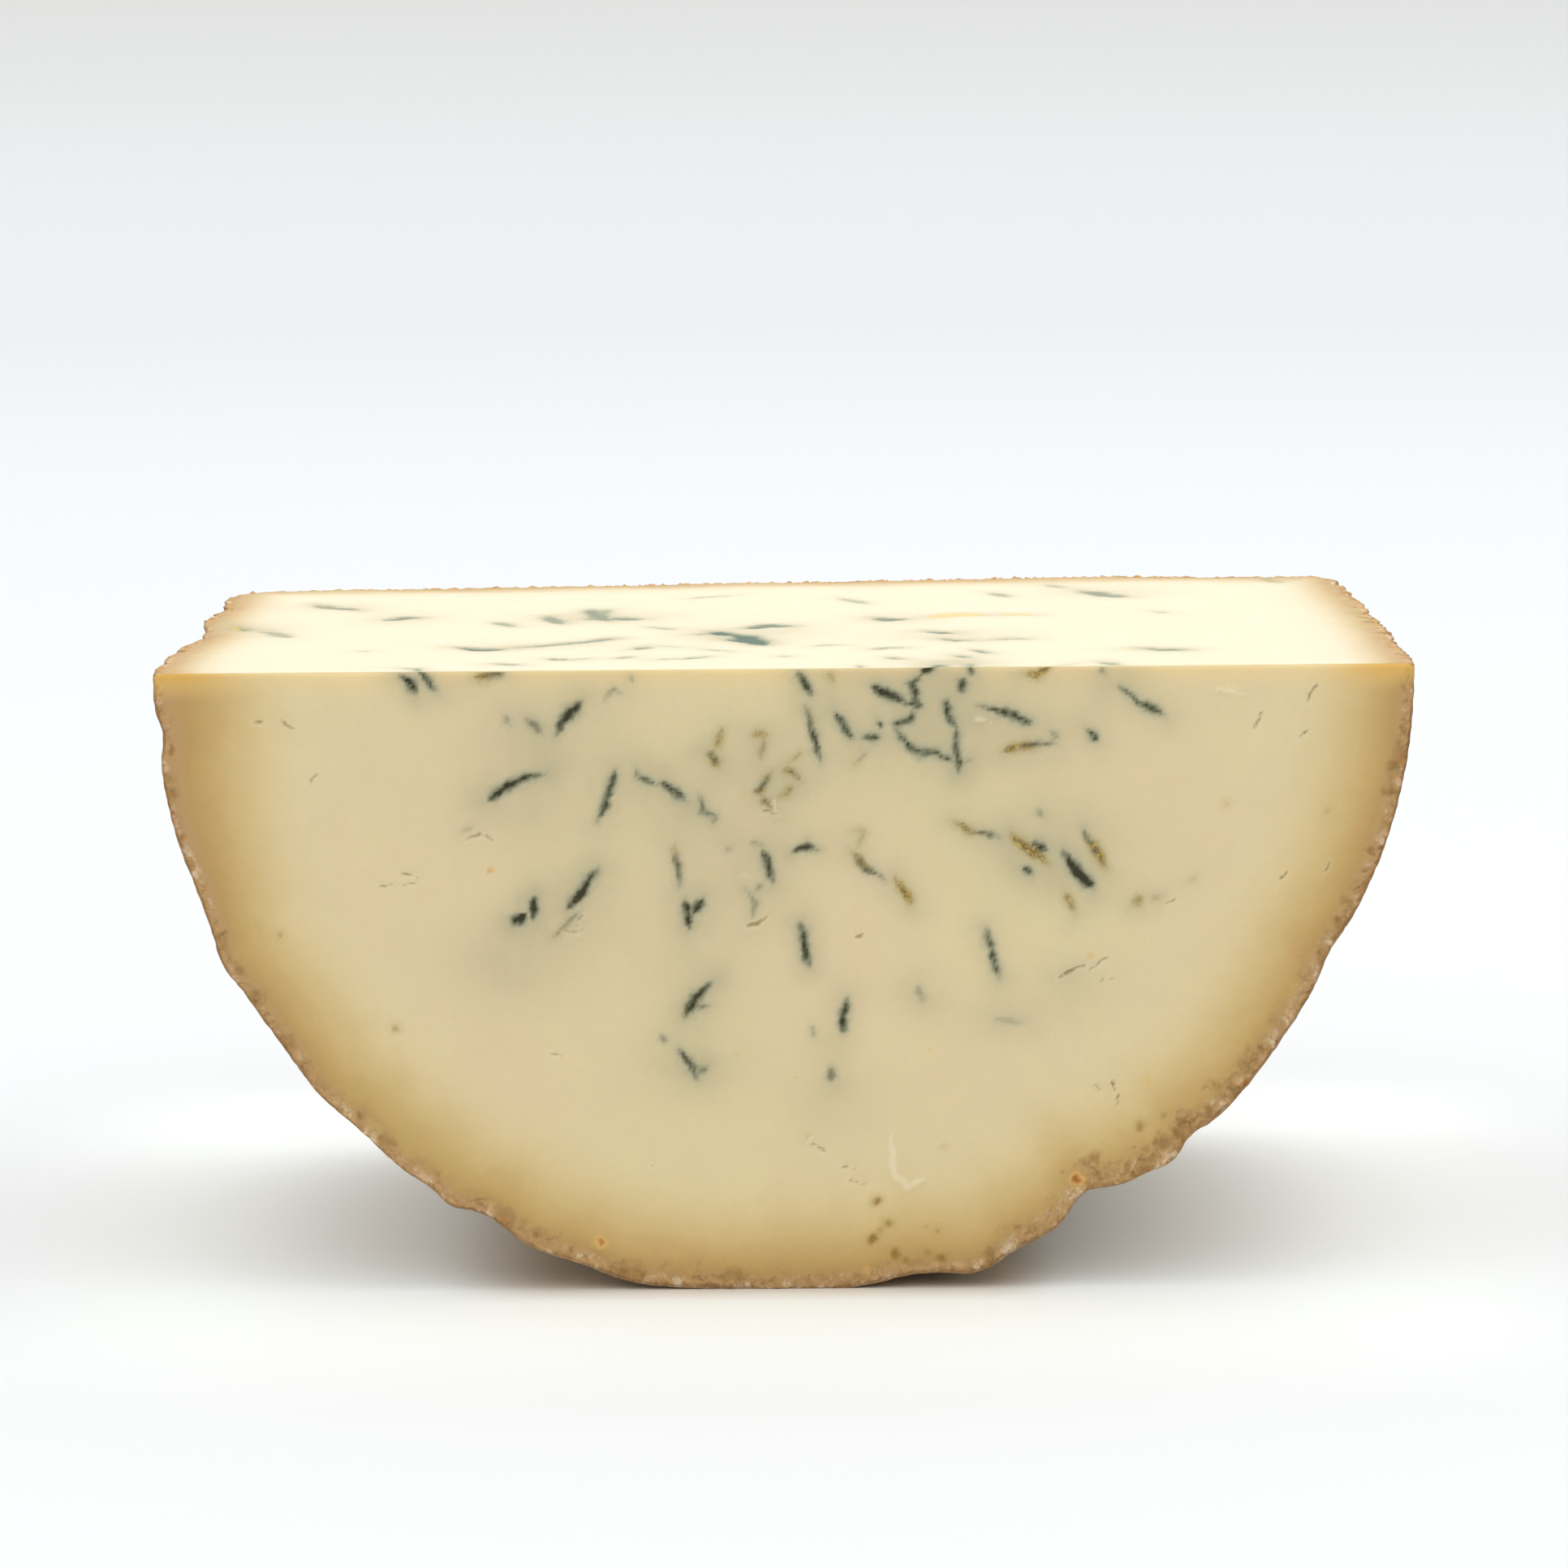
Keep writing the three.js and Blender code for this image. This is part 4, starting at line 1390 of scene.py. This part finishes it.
class Bench:
    """The node tree of one finish, with the few tools that build it."""

    def __init__(self, name: str) -> None:
        """Start a material with an empty tree.

        Args:
            name: of the finish.
        """
        self.material = bpy.data.materials.new(name)
        self.material.use_nodes = True
        self.tree = self.material.node_tree
        self.tree.nodes.clear()
        self.place = self.make("ShaderNodeTexCoord", {}, {}, "Object")

    def node(self, kind: str, settings: dict[str, object], sockets: dict) -> bpy.types.Node:
        """Add a node.

        Args:
            kind: its type.
            settings: its properties, such as an operation or a ramp's stops, which are set first.
            sockets: values or fields for its inputs, by name or number.

        Returns:
            The node.
        """
        node = self.tree.nodes.new(kind)
        for key, value in settings.items():
            if key == "stops":
                self._set_stops(node.color_ramp, value)
            else:
                setattr(node, key, value)
        for key, value in sockets.items():
            if isinstance(value, Field):
                self.tree.links.new(value.socket, node.inputs[key])
            else:
                node.inputs[key].default_value = value
        return node

    def make(self, kind: str, settings: dict[str, object], sockets: dict, output: str | int = 0) -> Field:
        """Add a node and take one of its outputs.

        Args:
            kind: its type.
            settings: its properties.
            sockets: values or fields for its inputs.
            output: name or number of the output.

        Returns:
            The output as a field.
        """
        return Field(self, self.node(kind, settings, sockets).outputs[output])

    @staticmethod
    def _set_stops(ramp: bpy.types.ColorRamp, stops: list[tuple[float, Colour]]) -> None:
        """Set a ramp's stops.

        Args:
            ramp: the ramp, which has two stops when it is new.
            stops: place and colour of each stop.
        """
        while len(ramp.elements) < len(stops):
            ramp.elements.new(0.5)
        for element, (place, colour) in zip(ramp.elements, stops):
            element.position = place
            element.color = colour

    def attribute(self, name: str) -> tuple[Field, Field, Field]:
        """Read the three numbers that the mesh stores under a name."""
        return self.make("ShaderNodeAttribute", {"attribute_name": name}, {}, "Vector").parts()

    def noise(self, size: float, detail: float = 2.0, roughness: float = 0.5, warp: float = 0.0) -> Field:
        """Add smooth random values.

        Args:
            size: of the patches, in millimetres.
            detail: how many finer sizes are added.
            roughness: strength of each finer size.
            warp: how far the patches are pulled out of shape.

        Returns:
            Values of about -0.5 to 0.5.
        """
        sockets = {
            "Vector": self.place,
            "Scale": 1.0 / (size * MM),
            "Detail": detail,
            "Roughness": roughness,
            "Distortion": warp,
        }
        return self.make("ShaderNodeTexNoise", {"noise_dimensions": "3D"}, sockets) - 0.5

    def mix(self, share: Field | float, first: Field | Colour, second: Field | Colour) -> Field:
        """Blend two colours, from the first at share 0 to the second at share 1."""
        return self.make("ShaderNodeMix", {"data_type": "RGBA"}, {0: share, 6: first, 7: second}, 2)

    def shade(self, colour: Field, amount: Field | float) -> Field:
        """Multiply a colour by an amount of light and shade."""
        return self.make("ShaderNodeVectorMath", {"operation": "SCALE"}, {0: colour, "Scale": amount})

    def finish(self, colour: Field, roughness: Field, height: Field, relief: float, fixed: dict) -> None:
        """Close the tree with its shader.

        Args:
            colour: base colour.
            roughness: of the surface.
            height: of the fine bumps, in millimetres.
            relief: strength of the bumps.
            fixed: numbers that are the same all over, set on the shader's sockets.
        """
        sockets = {"Strength": relief, "Distance": MM, "Height": height}
        normal = self.make("ShaderNodeBump", {}, sockets)
        shader = self.node(
            "ShaderNodeBsdfPrincipled", {}, {"Base Color": colour, "Roughness": roughness, "Normal": normal}
        )
        for key, value in fixed.items():
            shader.inputs[key].default_value = value
        self.node("ShaderNodeOutputMaterial", {}, {"Surface": Field(self, shader.outputs[0])})


# ---- Finishes --------------------------------------------------------------------------------


class PasteReading:
    """What the paste's finish reads from its mesh, and the random patterns that it adds."""

    def __init__(self, bench: Bench) -> None:
        """Read the marks and lay the patterns over them.

        Args:
            bench: of the finish.
        """
        self.vein, self.dark, self.brown = bench.attribute("vein")
        self.halo, self.orange, self.crack = bench.attribute("stain")
        self.depth, _, self.smear = bench.attribute("rind")
        self.drop, self.on_front, self.crust_share = bench.attribute("edge")
        self.across, _, _ = bench.place.parts()
        self.on_top = 1.0 - self.on_front

        self.broad = bench.noise(38.0, 2.0)
        self.medium = bench.noise(7.0, 3.0)
        self.clumps = bench.noise(3.2, 3.0, 0.6, 0.3)
        self.fine = bench.noise(1.3, 3.0, 0.6)
        self.specks = bench.noise(1.0, 2.0, 0.6, 0.4)
        self.dust = bench.noise(0.45, 2.0, 0.6)

        self.inwards = self.crust_share + self.clumps * 2.0 + self.medium * 1.2
        self.crust = self.inwards.step(1.35, 0.55)
        self.ragged = self.vein + self.fine * 0.75 + self.dust * 0.1
        self.core = (self.ragged + (self.dark - 1.0) * 0.3).step(-0.6, 0.5)


@dataclass(frozen=True)
class PasteFinish:
    """The cut paste: creamy, blue-green along its veins, and darker towards the rind."""

    name: str = "ripened_cheese_paste"
    depth_scale: float = 30.0
    cream: Colour = tone(230, 213, 167)
    rosy: Colour = tone(230, 209, 168)
    butter: Colour = tone(233, 216, 163)
    # Painted light: the paler tint of the long cut, which faces the light from above.
    long_cut_painted_light: Colour = tone(245, 236, 212)
    # Painted light: the glow along the top of the front cut, and its orange ends near the rind.
    painted_glow: Colour = tone(240, 214, 154)
    painted_glow_near_rind: Colour = tone(224, 174, 72)
    olive: Colour = tone(198, 172, 100)
    fawn: Colour = tone(202, 158, 100)
    mould: Colour = tone(98, 100, 68)
    mould_deep: Colour = tone(56, 53, 30)
    mould_pale: Colour = tone(120, 146, 130)
    brown_dark: Colour = tone(112, 92, 40)
    brown_pale: Colour = tone(196, 164, 76)
    ochre: Colour = tone(230, 200, 118)
    umber: Colour = tone(156, 118, 48)
    bloom: Colour = tone(196, 184, 146)
    fringe: Colour = tone(160, 165, 142)
    spot: Colour = tone(184, 108, 44)
    spot_pale: Colour = tone(228, 182, 104)
    crack: Colour = tone(172, 142, 78)
    # Pale colour of the smears, partly a painted highlight, and the painted highlight on crack rims.
    smear: Colour = tone(244, 232, 200)
    crust: Colour = tone(198, 158, 106)
    crust_pale: Colour = tone(230, 206, 174)
    crust_dark: Colour = tone(146, 108, 62)
    seam: Colour = tone(164, 132, 76)
    crust_edge: Colour = tone(104, 76, 48)
    crust_orange: Colour = tone(196, 134, 72)
    strength: float = 0.915

    def zones(self) -> list[tuple[float, Colour]]:
        """List the colours from the rind inwards, by depth as a share of the depth scale.

        Returns:
            The place and colour of each zone.
        """
        zones = [
            (0.0, tone(178, 142, 96)),
            (1.2, tone(190, 154, 104)),
            (3.0, tone(192, 156, 94)),
            (5.0, tone(202, 168, 104)),
            (9.0, tone(217, 189, 130)),
            (14.0, tone(225, 202, 150)),
            (19.0, tone(229, 209, 160)),
            (self.depth_scale, self.cream),
        ]
        return [(depth / self.depth_scale, colour) for depth, colour in zones]

    def make(self) -> bpy.types.Material:
        """Build the finish.

        Returns:
            The material.
        """
        bench = Bench(self.name)
        at = PasteReading(bench)
        colour = self._crusted(bench, at, self._ground(bench, at))
        colour = self._paint_edge_glow(bench, at, colour)
        colour = bench.mix((at.halo * (0.9 + at.medium * 1.5)).at_most(0.8), colour, self.bloom)
        colour = self._fringed(bench, at, colour)
        colour = bench.mix(at.core * (at.dark * 1.25).at_most(1.0), colour, self._mould(bench, at))
        colour = self._spotted(bench, at, colour)
        colour = bench.shade(colour, (1.0 + at.medium * 0.05 + at.dust * 0.06) * self.strength)

        roughness = 0.5 + at.fine * 0.15 + at.core * 0.25 + at.crust * 0.3
        height = 0.10 * at.fine + 0.05 * at.dust + 0.25 * at.medium
        height = height + at.crust * (at.specks + at.clumps) * 0.35 - at.core * 0.08
        fixed = {
            "Specular IOR Level": 0.35,
            "Subsurface Weight": 0.25,
            "Subsurface Radius": (1.0, 0.62, 0.3),
            "Subsurface Scale": 0.003,
        }
        bench.finish(colour, roughness, height, 0.6, fixed)
        return bench.material

    def _ground(self, bench: Bench, at: PasteReading) -> Field:
        """Colour the paste, darker in zones towards the rind, and painted paler on the long cut as painted
        light from above.

        Args:
            bench: to add to.
            at: what is known at each place.

        Returns:
            The colour.
        """
        paste = bench.mix((at.broad * 1.6 + 0.5).step(0.1, 0.9), self.cream, self.rosy)
        paste = bench.mix((at.medium + 0.35).step(0.3, 0.9) * 0.5, paste, self.butter)
        darker_side = at.on_front * at.across.step(-0.06, -0.095) * at.drop.step(45.0, 5.0)
        uneven = at.depth * (1.0 - darker_side * 0.34)
        uneven = uneven + at.medium * 3.0 * at.depth.step(1.0, 8.0) + at.fine * 0.8
        zones = bench.make("ShaderNodeValToRGB", {"stops": self.zones()}, {0: uneven / self.depth_scale})
        near_rind = at.depth.step(11.0, 3.0)
        patches = at.broad + at.clumps
        zones = bench.mix(patches.step(0.04, 0.26) * near_rind * 0.6, zones, self.olive)
        zones = bench.mix(patches.step(-0.06, -0.26) * near_rind * 0.35, zones, self.fawn)
        colour = bench.mix(uneven.step(9.0, 24.0), zones, paste)
        # Painted light: the long cut is painted paler away from the rind, for the strong light on it from
        # above.
        return bench.mix(at.on_top * at.depth.step(1.0, 12.0) * 0.65, colour, self.long_cut_painted_light)

    def _crusted(self, bench: Bench, at: PasteReading, colour: Field) -> Field:
        """Lay the crumbly crust over the paste beside the rind.

        Args:
            bench: to add to.
            at: what is known at each place.
            colour: of the paste.

        Returns:
            The colour.
        """
        seam = at.inwards.step(1.9, 1.0) * (at.medium - at.clumps).step(0.02, 0.25)
        pale = at.crust * (at.clumps + at.specks * 0.35).step(0.02, 0.2)
        dark = at.crust * (at.specks * 0.4 - at.clumps).step(0.06, 0.26)
        orange = at.crust * (at.medium + at.specks * 0.4).step(0.12, 0.26)
        outermost = (at.crust_share + at.specks * 0.5 + at.broad * 0.6).step(0.26, 0.04)
        layers = (
            (at.crust * 0.65, self.crust),
            (seam * 0.7, self.seam),
            (pale * 0.85, self.crust_pale),
            (dark * 0.7, self.crust_dark),
            (orange * 0.6, self.crust_orange),
            (outermost * 0.5, self.crust_edge),
        )
        for share, tint in layers:
            colour = bench.mix(share, colour, tint)
        return colour

    def _paint_edge_glow(self, bench: Bench, at: PasteReading, colour: Field) -> Field:
        """Paint the thin yellower line along the top of the front cut: a painted glow that stands in for
        light coming through the paste from the long cut, more orange near the rind.

        Args:
            bench: to add to.
            at: what is known at each place.
            colour: without the painted glow.

        Returns:
            The colour.
        """
        # Painted glow under the top edge of the front cut, for light that shines through the paste.
        painted_glow = at.on_front * (at.drop + at.fine * 0.6).step(5.0, -0.3)
        colour = bench.mix(painted_glow * 0.7, colour, self.painted_glow)
        return bench.mix(painted_glow * at.depth.step(18.0, 3.0) * 0.85, colour, self.painted_glow_near_rind)

    def _fringed(self, bench: Bench, at: PasteReading, colour: Field) -> Field:
        """Stain the paste beside the veins, grey-green or amber.

        Args:
            bench: to add to.
            at: what is known at each place.
            colour: without the stains.

        Returns:
            The colour.
        """
        fringe = at.ragged.step(-1.5, 0.3) * at.dark
        colour = bench.mix(fringe * (0.7 - at.brown * 0.35).at_least(0.12), colour, self.fringe)
        amber = at.on_front * fringe * (at.brown + at.fine * 0.8).step(0.15, 0.8)
        return bench.mix(amber * 0.45, colour, self.brown_pale)

    def _mould(self, bench: Bench, at: PasteReading) -> Field:
        """Colour the mould in the veins, from blue-green to rusty brown, and the pits.

        Args:
            bench: to add to.
            at: what is known at each place.

        Returns:
            The colour.
        """
        mould = bench.mix((at.ragged + at.dust * 0.4).step(-0.1, 0.55), self.mould, self.mould_deep)
        mould = bench.mix(at.on_top * 0.55, mould, self.mould_pale)
        rusty = bench.mix((at.fine + at.dust).step(-0.15, 0.2), self.brown_dark, self.brown_pale)
        rusty = bench.mix(at.on_top, rusty, self.ochre)
        rusty = bench.mix(at.on_front * at.brown.step(1.2, 1.8), rusty, self.umber)
        return bench.mix((at.brown + at.fine * 0.9).step(0.25, 0.8), mould, rusty)

    def _spotted(self, bench: Bench, at: PasteReading, colour: Field) -> Field:
        """Add the orange spots, the cracks with a painted highlight round their rims, and the smears,
        painted pale partly as a painted highlight.

        Args:
            bench: to add to.
            at: what is known at each place.
            colour: without them.

        Returns:
            The colour.
        """
        spot = bench.mix((at.orange + at.fine * 0.4).step(0.6, 1.0), self.spot_pale, self.spot)
        colour = bench.mix((at.orange + at.fine * 0.6).step(0.2, 0.75) * 0.8, colour, spot)
        opened = (at.crack + at.dust * 0.2).step(-0.22, 0.12)
        # Painted highlight: a faint pale ring round each crack.
        colour = bench.mix(at.crack.step(-0.8, -0.25) * (1.0 - opened) * 0.12, colour, self.smear)
        colour = bench.mix(opened * 0.7, colour, self.crack)
        # The smears' paler paste, partly a painted highlight.
        return bench.mix(at.smear.step(0.35, 0.9) * 0.45, colour, self.smear)


@dataclass(frozen=True)
class RindFinish:
    """The natural rind: tan to brown and dry, with a whitish bloom on its knobs and painted shade in its
    creases.
    """

    name: str = "ripened_cheese_rind"
    tan: Colour = tone(186, 154, 112)
    brown: Colour = tone(146, 112, 74)
    painted_crease_shade: Colour = tone(92, 68, 44)
    grey: Colour = tone(176, 164, 138)
    bloom: Colour = tone(218, 206, 182)
    rust: Colour = tone(180, 120, 68)
    strength: float = 0.88

    def make(self) -> bpy.types.Material:
        """Build the finish.

        Returns:
            The material.
        """
        bench = Bench(self.name)
        _, relief, _ = bench.attribute("rind")
        broad = bench.noise(30.0, 3.0)
        medium = bench.noise(8.0, 4.0, 0.6, 0.5)
        fine = bench.noise(2.2, 4.0, 0.65)
        dust = bench.noise(0.6, 3.0, 0.6)

        colour = bench.mix((medium * 1.5 + broad + 0.5).step(0.25, 0.75), self.tan, self.brown)
        colour = bench.mix((broad + fine * 0.8).step(0.05, 0.3) * 0.6, colour, self.grey)
        # Painted shade: darker brown where the relief sinks into creases.
        colour = bench.mix((relief + fine * 0.8).step(-0.3, -1.2) * 0.7, colour, self.painted_crease_shade)
        colour = bench.mix((relief + fine * 1.2 + broad).step(-0.05, 0.5) * 0.7, colour, self.bloom)
        colour = bench.mix((medium - broad).step(0.22, 0.4) * 0.5, colour, self.rust)
        colour = bench.shade(colour, (1.0 + fine * 0.3 + dust * 0.3) * self.strength)

        roughness = 0.82 + fine * 0.15
        height = 0.45 * fine + 0.2 * dust
        fixed = {
            "Specular IOR Level": 0.25,
            "Subsurface Weight": 0.08,
            "Subsurface Radius": (1.0, 0.6, 0.3),
            "Subsurface Scale": 0.0015,
        }
        bench.finish(colour, roughness, height, 0.9, fixed)
        return bench.material


@dataclass(frozen=True)
class FloorFinish:
    """Matt white paper, painted lighter beside and under the piece to lift its shadow, with a warm painted
    contact shadow where it touches, and greyer up the sweep as painted shade.
    """

    name: str = "studio_paper"
    # Painted shadow: the warm dark colour where the piece touches the floor.
    painted_contact_shadow: Colour = (0.66, 0.58, 0.48, 1.0)
    # Painted light: whiter paper round the piece, which lightens its cast shadow.
    painted_shadow_lift: Colour = (0.955, 0.985, 0.975, 1.0)
    near: Colour = (0.745, 0.755, 0.765, 1.0)
    far: Colour = (0.81, 0.82, 0.835, 1.0)
    # Painted shade: the greyer paper up the sweep, where the light falls off.
    sweep: Colour = (0.64, 0.631, 0.592, 1.0)

    def make(self) -> bpy.types.Material:
        """Build the finish.

        Returns:
            The material.
        """
        bench = Bench(self.name)
        across, back, up = bench.place.parts()
        squares = across * across + back * back
        distance = bench.make("ShaderNodeMath", {"operation": "SQRT"}, {0: squares})
        colour = bench.mix(distance.step(0.3, 1.4), self.near, self.far)
        # Painted shade: greyer up the sweep.
        colour = bench.mix(up.step(0.0, 0.3), colour, self.sweep)
        # Painted light: the zone round the piece where the paper is painted whiter to lift its shadow.
        below = across.step(-0.15, -0.085) * across.step(0.15, 0.085)
        below = below * back.step(-0.14, -0.045) * back.step(0.12, 0.05)
        colour = bench.mix(below, colour, self.painted_shadow_lift)
        # Painted contact shadow, in a small zone round the piece's foot.
        contact_shadow_zone = across.step(-0.06, -0.036) * across.step(0.046, 0.032)
        contact_shadow_zone = contact_shadow_zone * back.step(-0.07, -0.055) * back.step(0.056, 0.036)
        colour = bench.mix(contact_shadow_zone, colour, self.painted_contact_shadow)
        roughness = 0.9 + bench.noise(1.0) * 0.05
        bench.finish(colour, roughness, bench.noise(0.8), 0.02, {"Specular IOR Level": 0.2})
        return bench.material


# ---- Studio ----------------------------------------------------------------------------------


@dataclass(frozen=True)
class Stage:
    """A round paper floor that sweeps up into a low wall all round."""

    flat: float = 2000.0
    sweep: float = 900.0
    top: float = 1000.0
    around: int = 96
    sweep_steps: int = 16
    inner: tuple[float, ...] = (150.0, 500.0, 1000.0, 1500.0)

    def build(self, finish: bpy.types.Material) -> bpy.types.Object:
        """Make the stage.

        Args:
            finish: of the paper.

        Returns:
            The stage, which is not part of the piece.
        """
        turn = np.linspace(0.0, math.pi / 2, self.sweep_steps + 1)
        outer = self.flat + self.sweep
        radii = np.concatenate([self.inner, self.flat + self.sweep * np.sin(turn), [outer]])
        rise = self.sweep * (1.0 - np.cos(turn))
        heights = np.concatenate([np.zeros(len(self.inner)), rise, [self.top]])
        angle = np.linspace(0.0, 2.0 * math.pi, self.around, endpoint=False)
        rings = [
            np.column_stack([r * np.cos(angle), r * np.sin(angle), np.full(self.around, z)])
            for r, z in zip(radii, heights)
        ]
        points = np.vstack([[[0.0, 0.0, 0.0]], *rings]) * MM
        step = [(k, (k + 1) % self.around) for k in range(self.around)]
        faces = [(0, 1 + a, 1 + b) for a, b in step]
        for ring in range(len(rings) - 1):
            near = 1 + ring * self.around
            far = near + self.around
            faces += [(near + a, far + a, far + b, near + b) for a, b in step]
        mesh = bpy.data.meshes.new("paper_sweep")
        mesh.from_pydata(points.tolist(), [], faces)
        mesh.shade_smooth()
        mesh.materials.append(finish)
        floor = bpy.data.objects.new("paper_sweep", mesh)
        bpy.context.scene.collection.objects.link(floor)
        return floor


@dataclass(frozen=True)
class Studio:
    """Soft white light from all round, and a large soft box above."""

    sky: float = 1.2
    box_power: float = 3.8
    box_size: float = 900.0
    box_place: tuple[float, float, float] = (110.0, 120.0, 1150.0)
    sky_colour: Colour = (0.975, 0.99, 1.0, 1.0)
    box_colour: tuple[float, float, float] = (1.0, 0.985, 0.96)

    def build(self) -> None:
        """Light the piece, and show colours as they are."""
        world = bpy.data.worlds.new("soft_room")
        world.use_nodes = True
        background = world.node_tree.nodes["Background"]
        background.inputs["Color"].default_value = self.sky_colour
        background.inputs["Strength"].default_value = self.sky
        bpy.context.scene.world = world
        light = bpy.data.lights.new("soft_box", "AREA")
        light.shape = "SQUARE"
        light.size = self.box_size * MM
        light.energy = self.box_power
        light.color = self.box_colour
        lamp = bpy.data.objects.new("soft_box", light)
        lamp.location = Vector(self.box_place) * MM
        lamp.rotation_euler = (-lamp.location).to_track_quat("-Z", "Y").to_euler()
        bpy.context.scene.collection.objects.link(lamp)
        bpy.context.scene.view_settings.view_transform = "Standard"


@dataclass(frozen=True)
class Viewpoint:
    """The camera, a little above the long cut and looking at the front cut."""

    place: tuple[float, float, float] = (14.4, -960.0, 223.5)
    turn: float = 0.9
    dip: float = 8.9
    roll: float = -0.6
    lens: float = 131.37

    def build(self) -> bpy.types.Object:
        """Set the camera up.

        Returns:
            The camera.
        """
        turn, dip, roll = (math.radians(angle) for angle in (self.turn, self.dip, self.roll))
        ahead = Vector((-math.sin(turn) * math.cos(dip), math.cos(turn) * math.cos(dip), -math.sin(dip)))
        level = Vector((math.cos(turn), math.sin(turn), 0.0))
        upright = level.cross(ahead)
        right = math.cos(roll) * level + math.sin(roll) * upright
        up = math.cos(roll) * upright - math.sin(roll) * level
        data = bpy.data.cameras.new("camera")
        data.lens = self.lens
        camera = bpy.data.objects.new("camera", data)
        axes = Matrix((right, up, -ahead)).transposed().to_4x4()
        camera.matrix_world = Matrix.Translation(Vector(self.place) * MM) @ axes
        bpy.context.scene.collection.objects.link(camera)
        bpy.context.scene.camera = camera
        return camera


def main() -> None:
    """Build the half wheel, its stage, its light and its camera."""
    logging.basicConfig(level=logging.INFO, format="%(name)s: %(message)s")
    Viewpoint().build()
    Studio().build()
    stage = Stage().build(FloorFinish().make())
    log.info("%s: %d faces", stage.name, len(stage.data.polygons))
    wheel = HalfWheel(WheelShape.from_frame())
    piece = wheel.build(PasteFinish().make(), RindFinish().make())
    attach(piece, "root")
    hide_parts(NODE)
    log.info("%s: %d faces, %d points", piece.name, len(piece.data.polygons), len(piece.data.vertices))


if __name__ == "__main__":
    main()
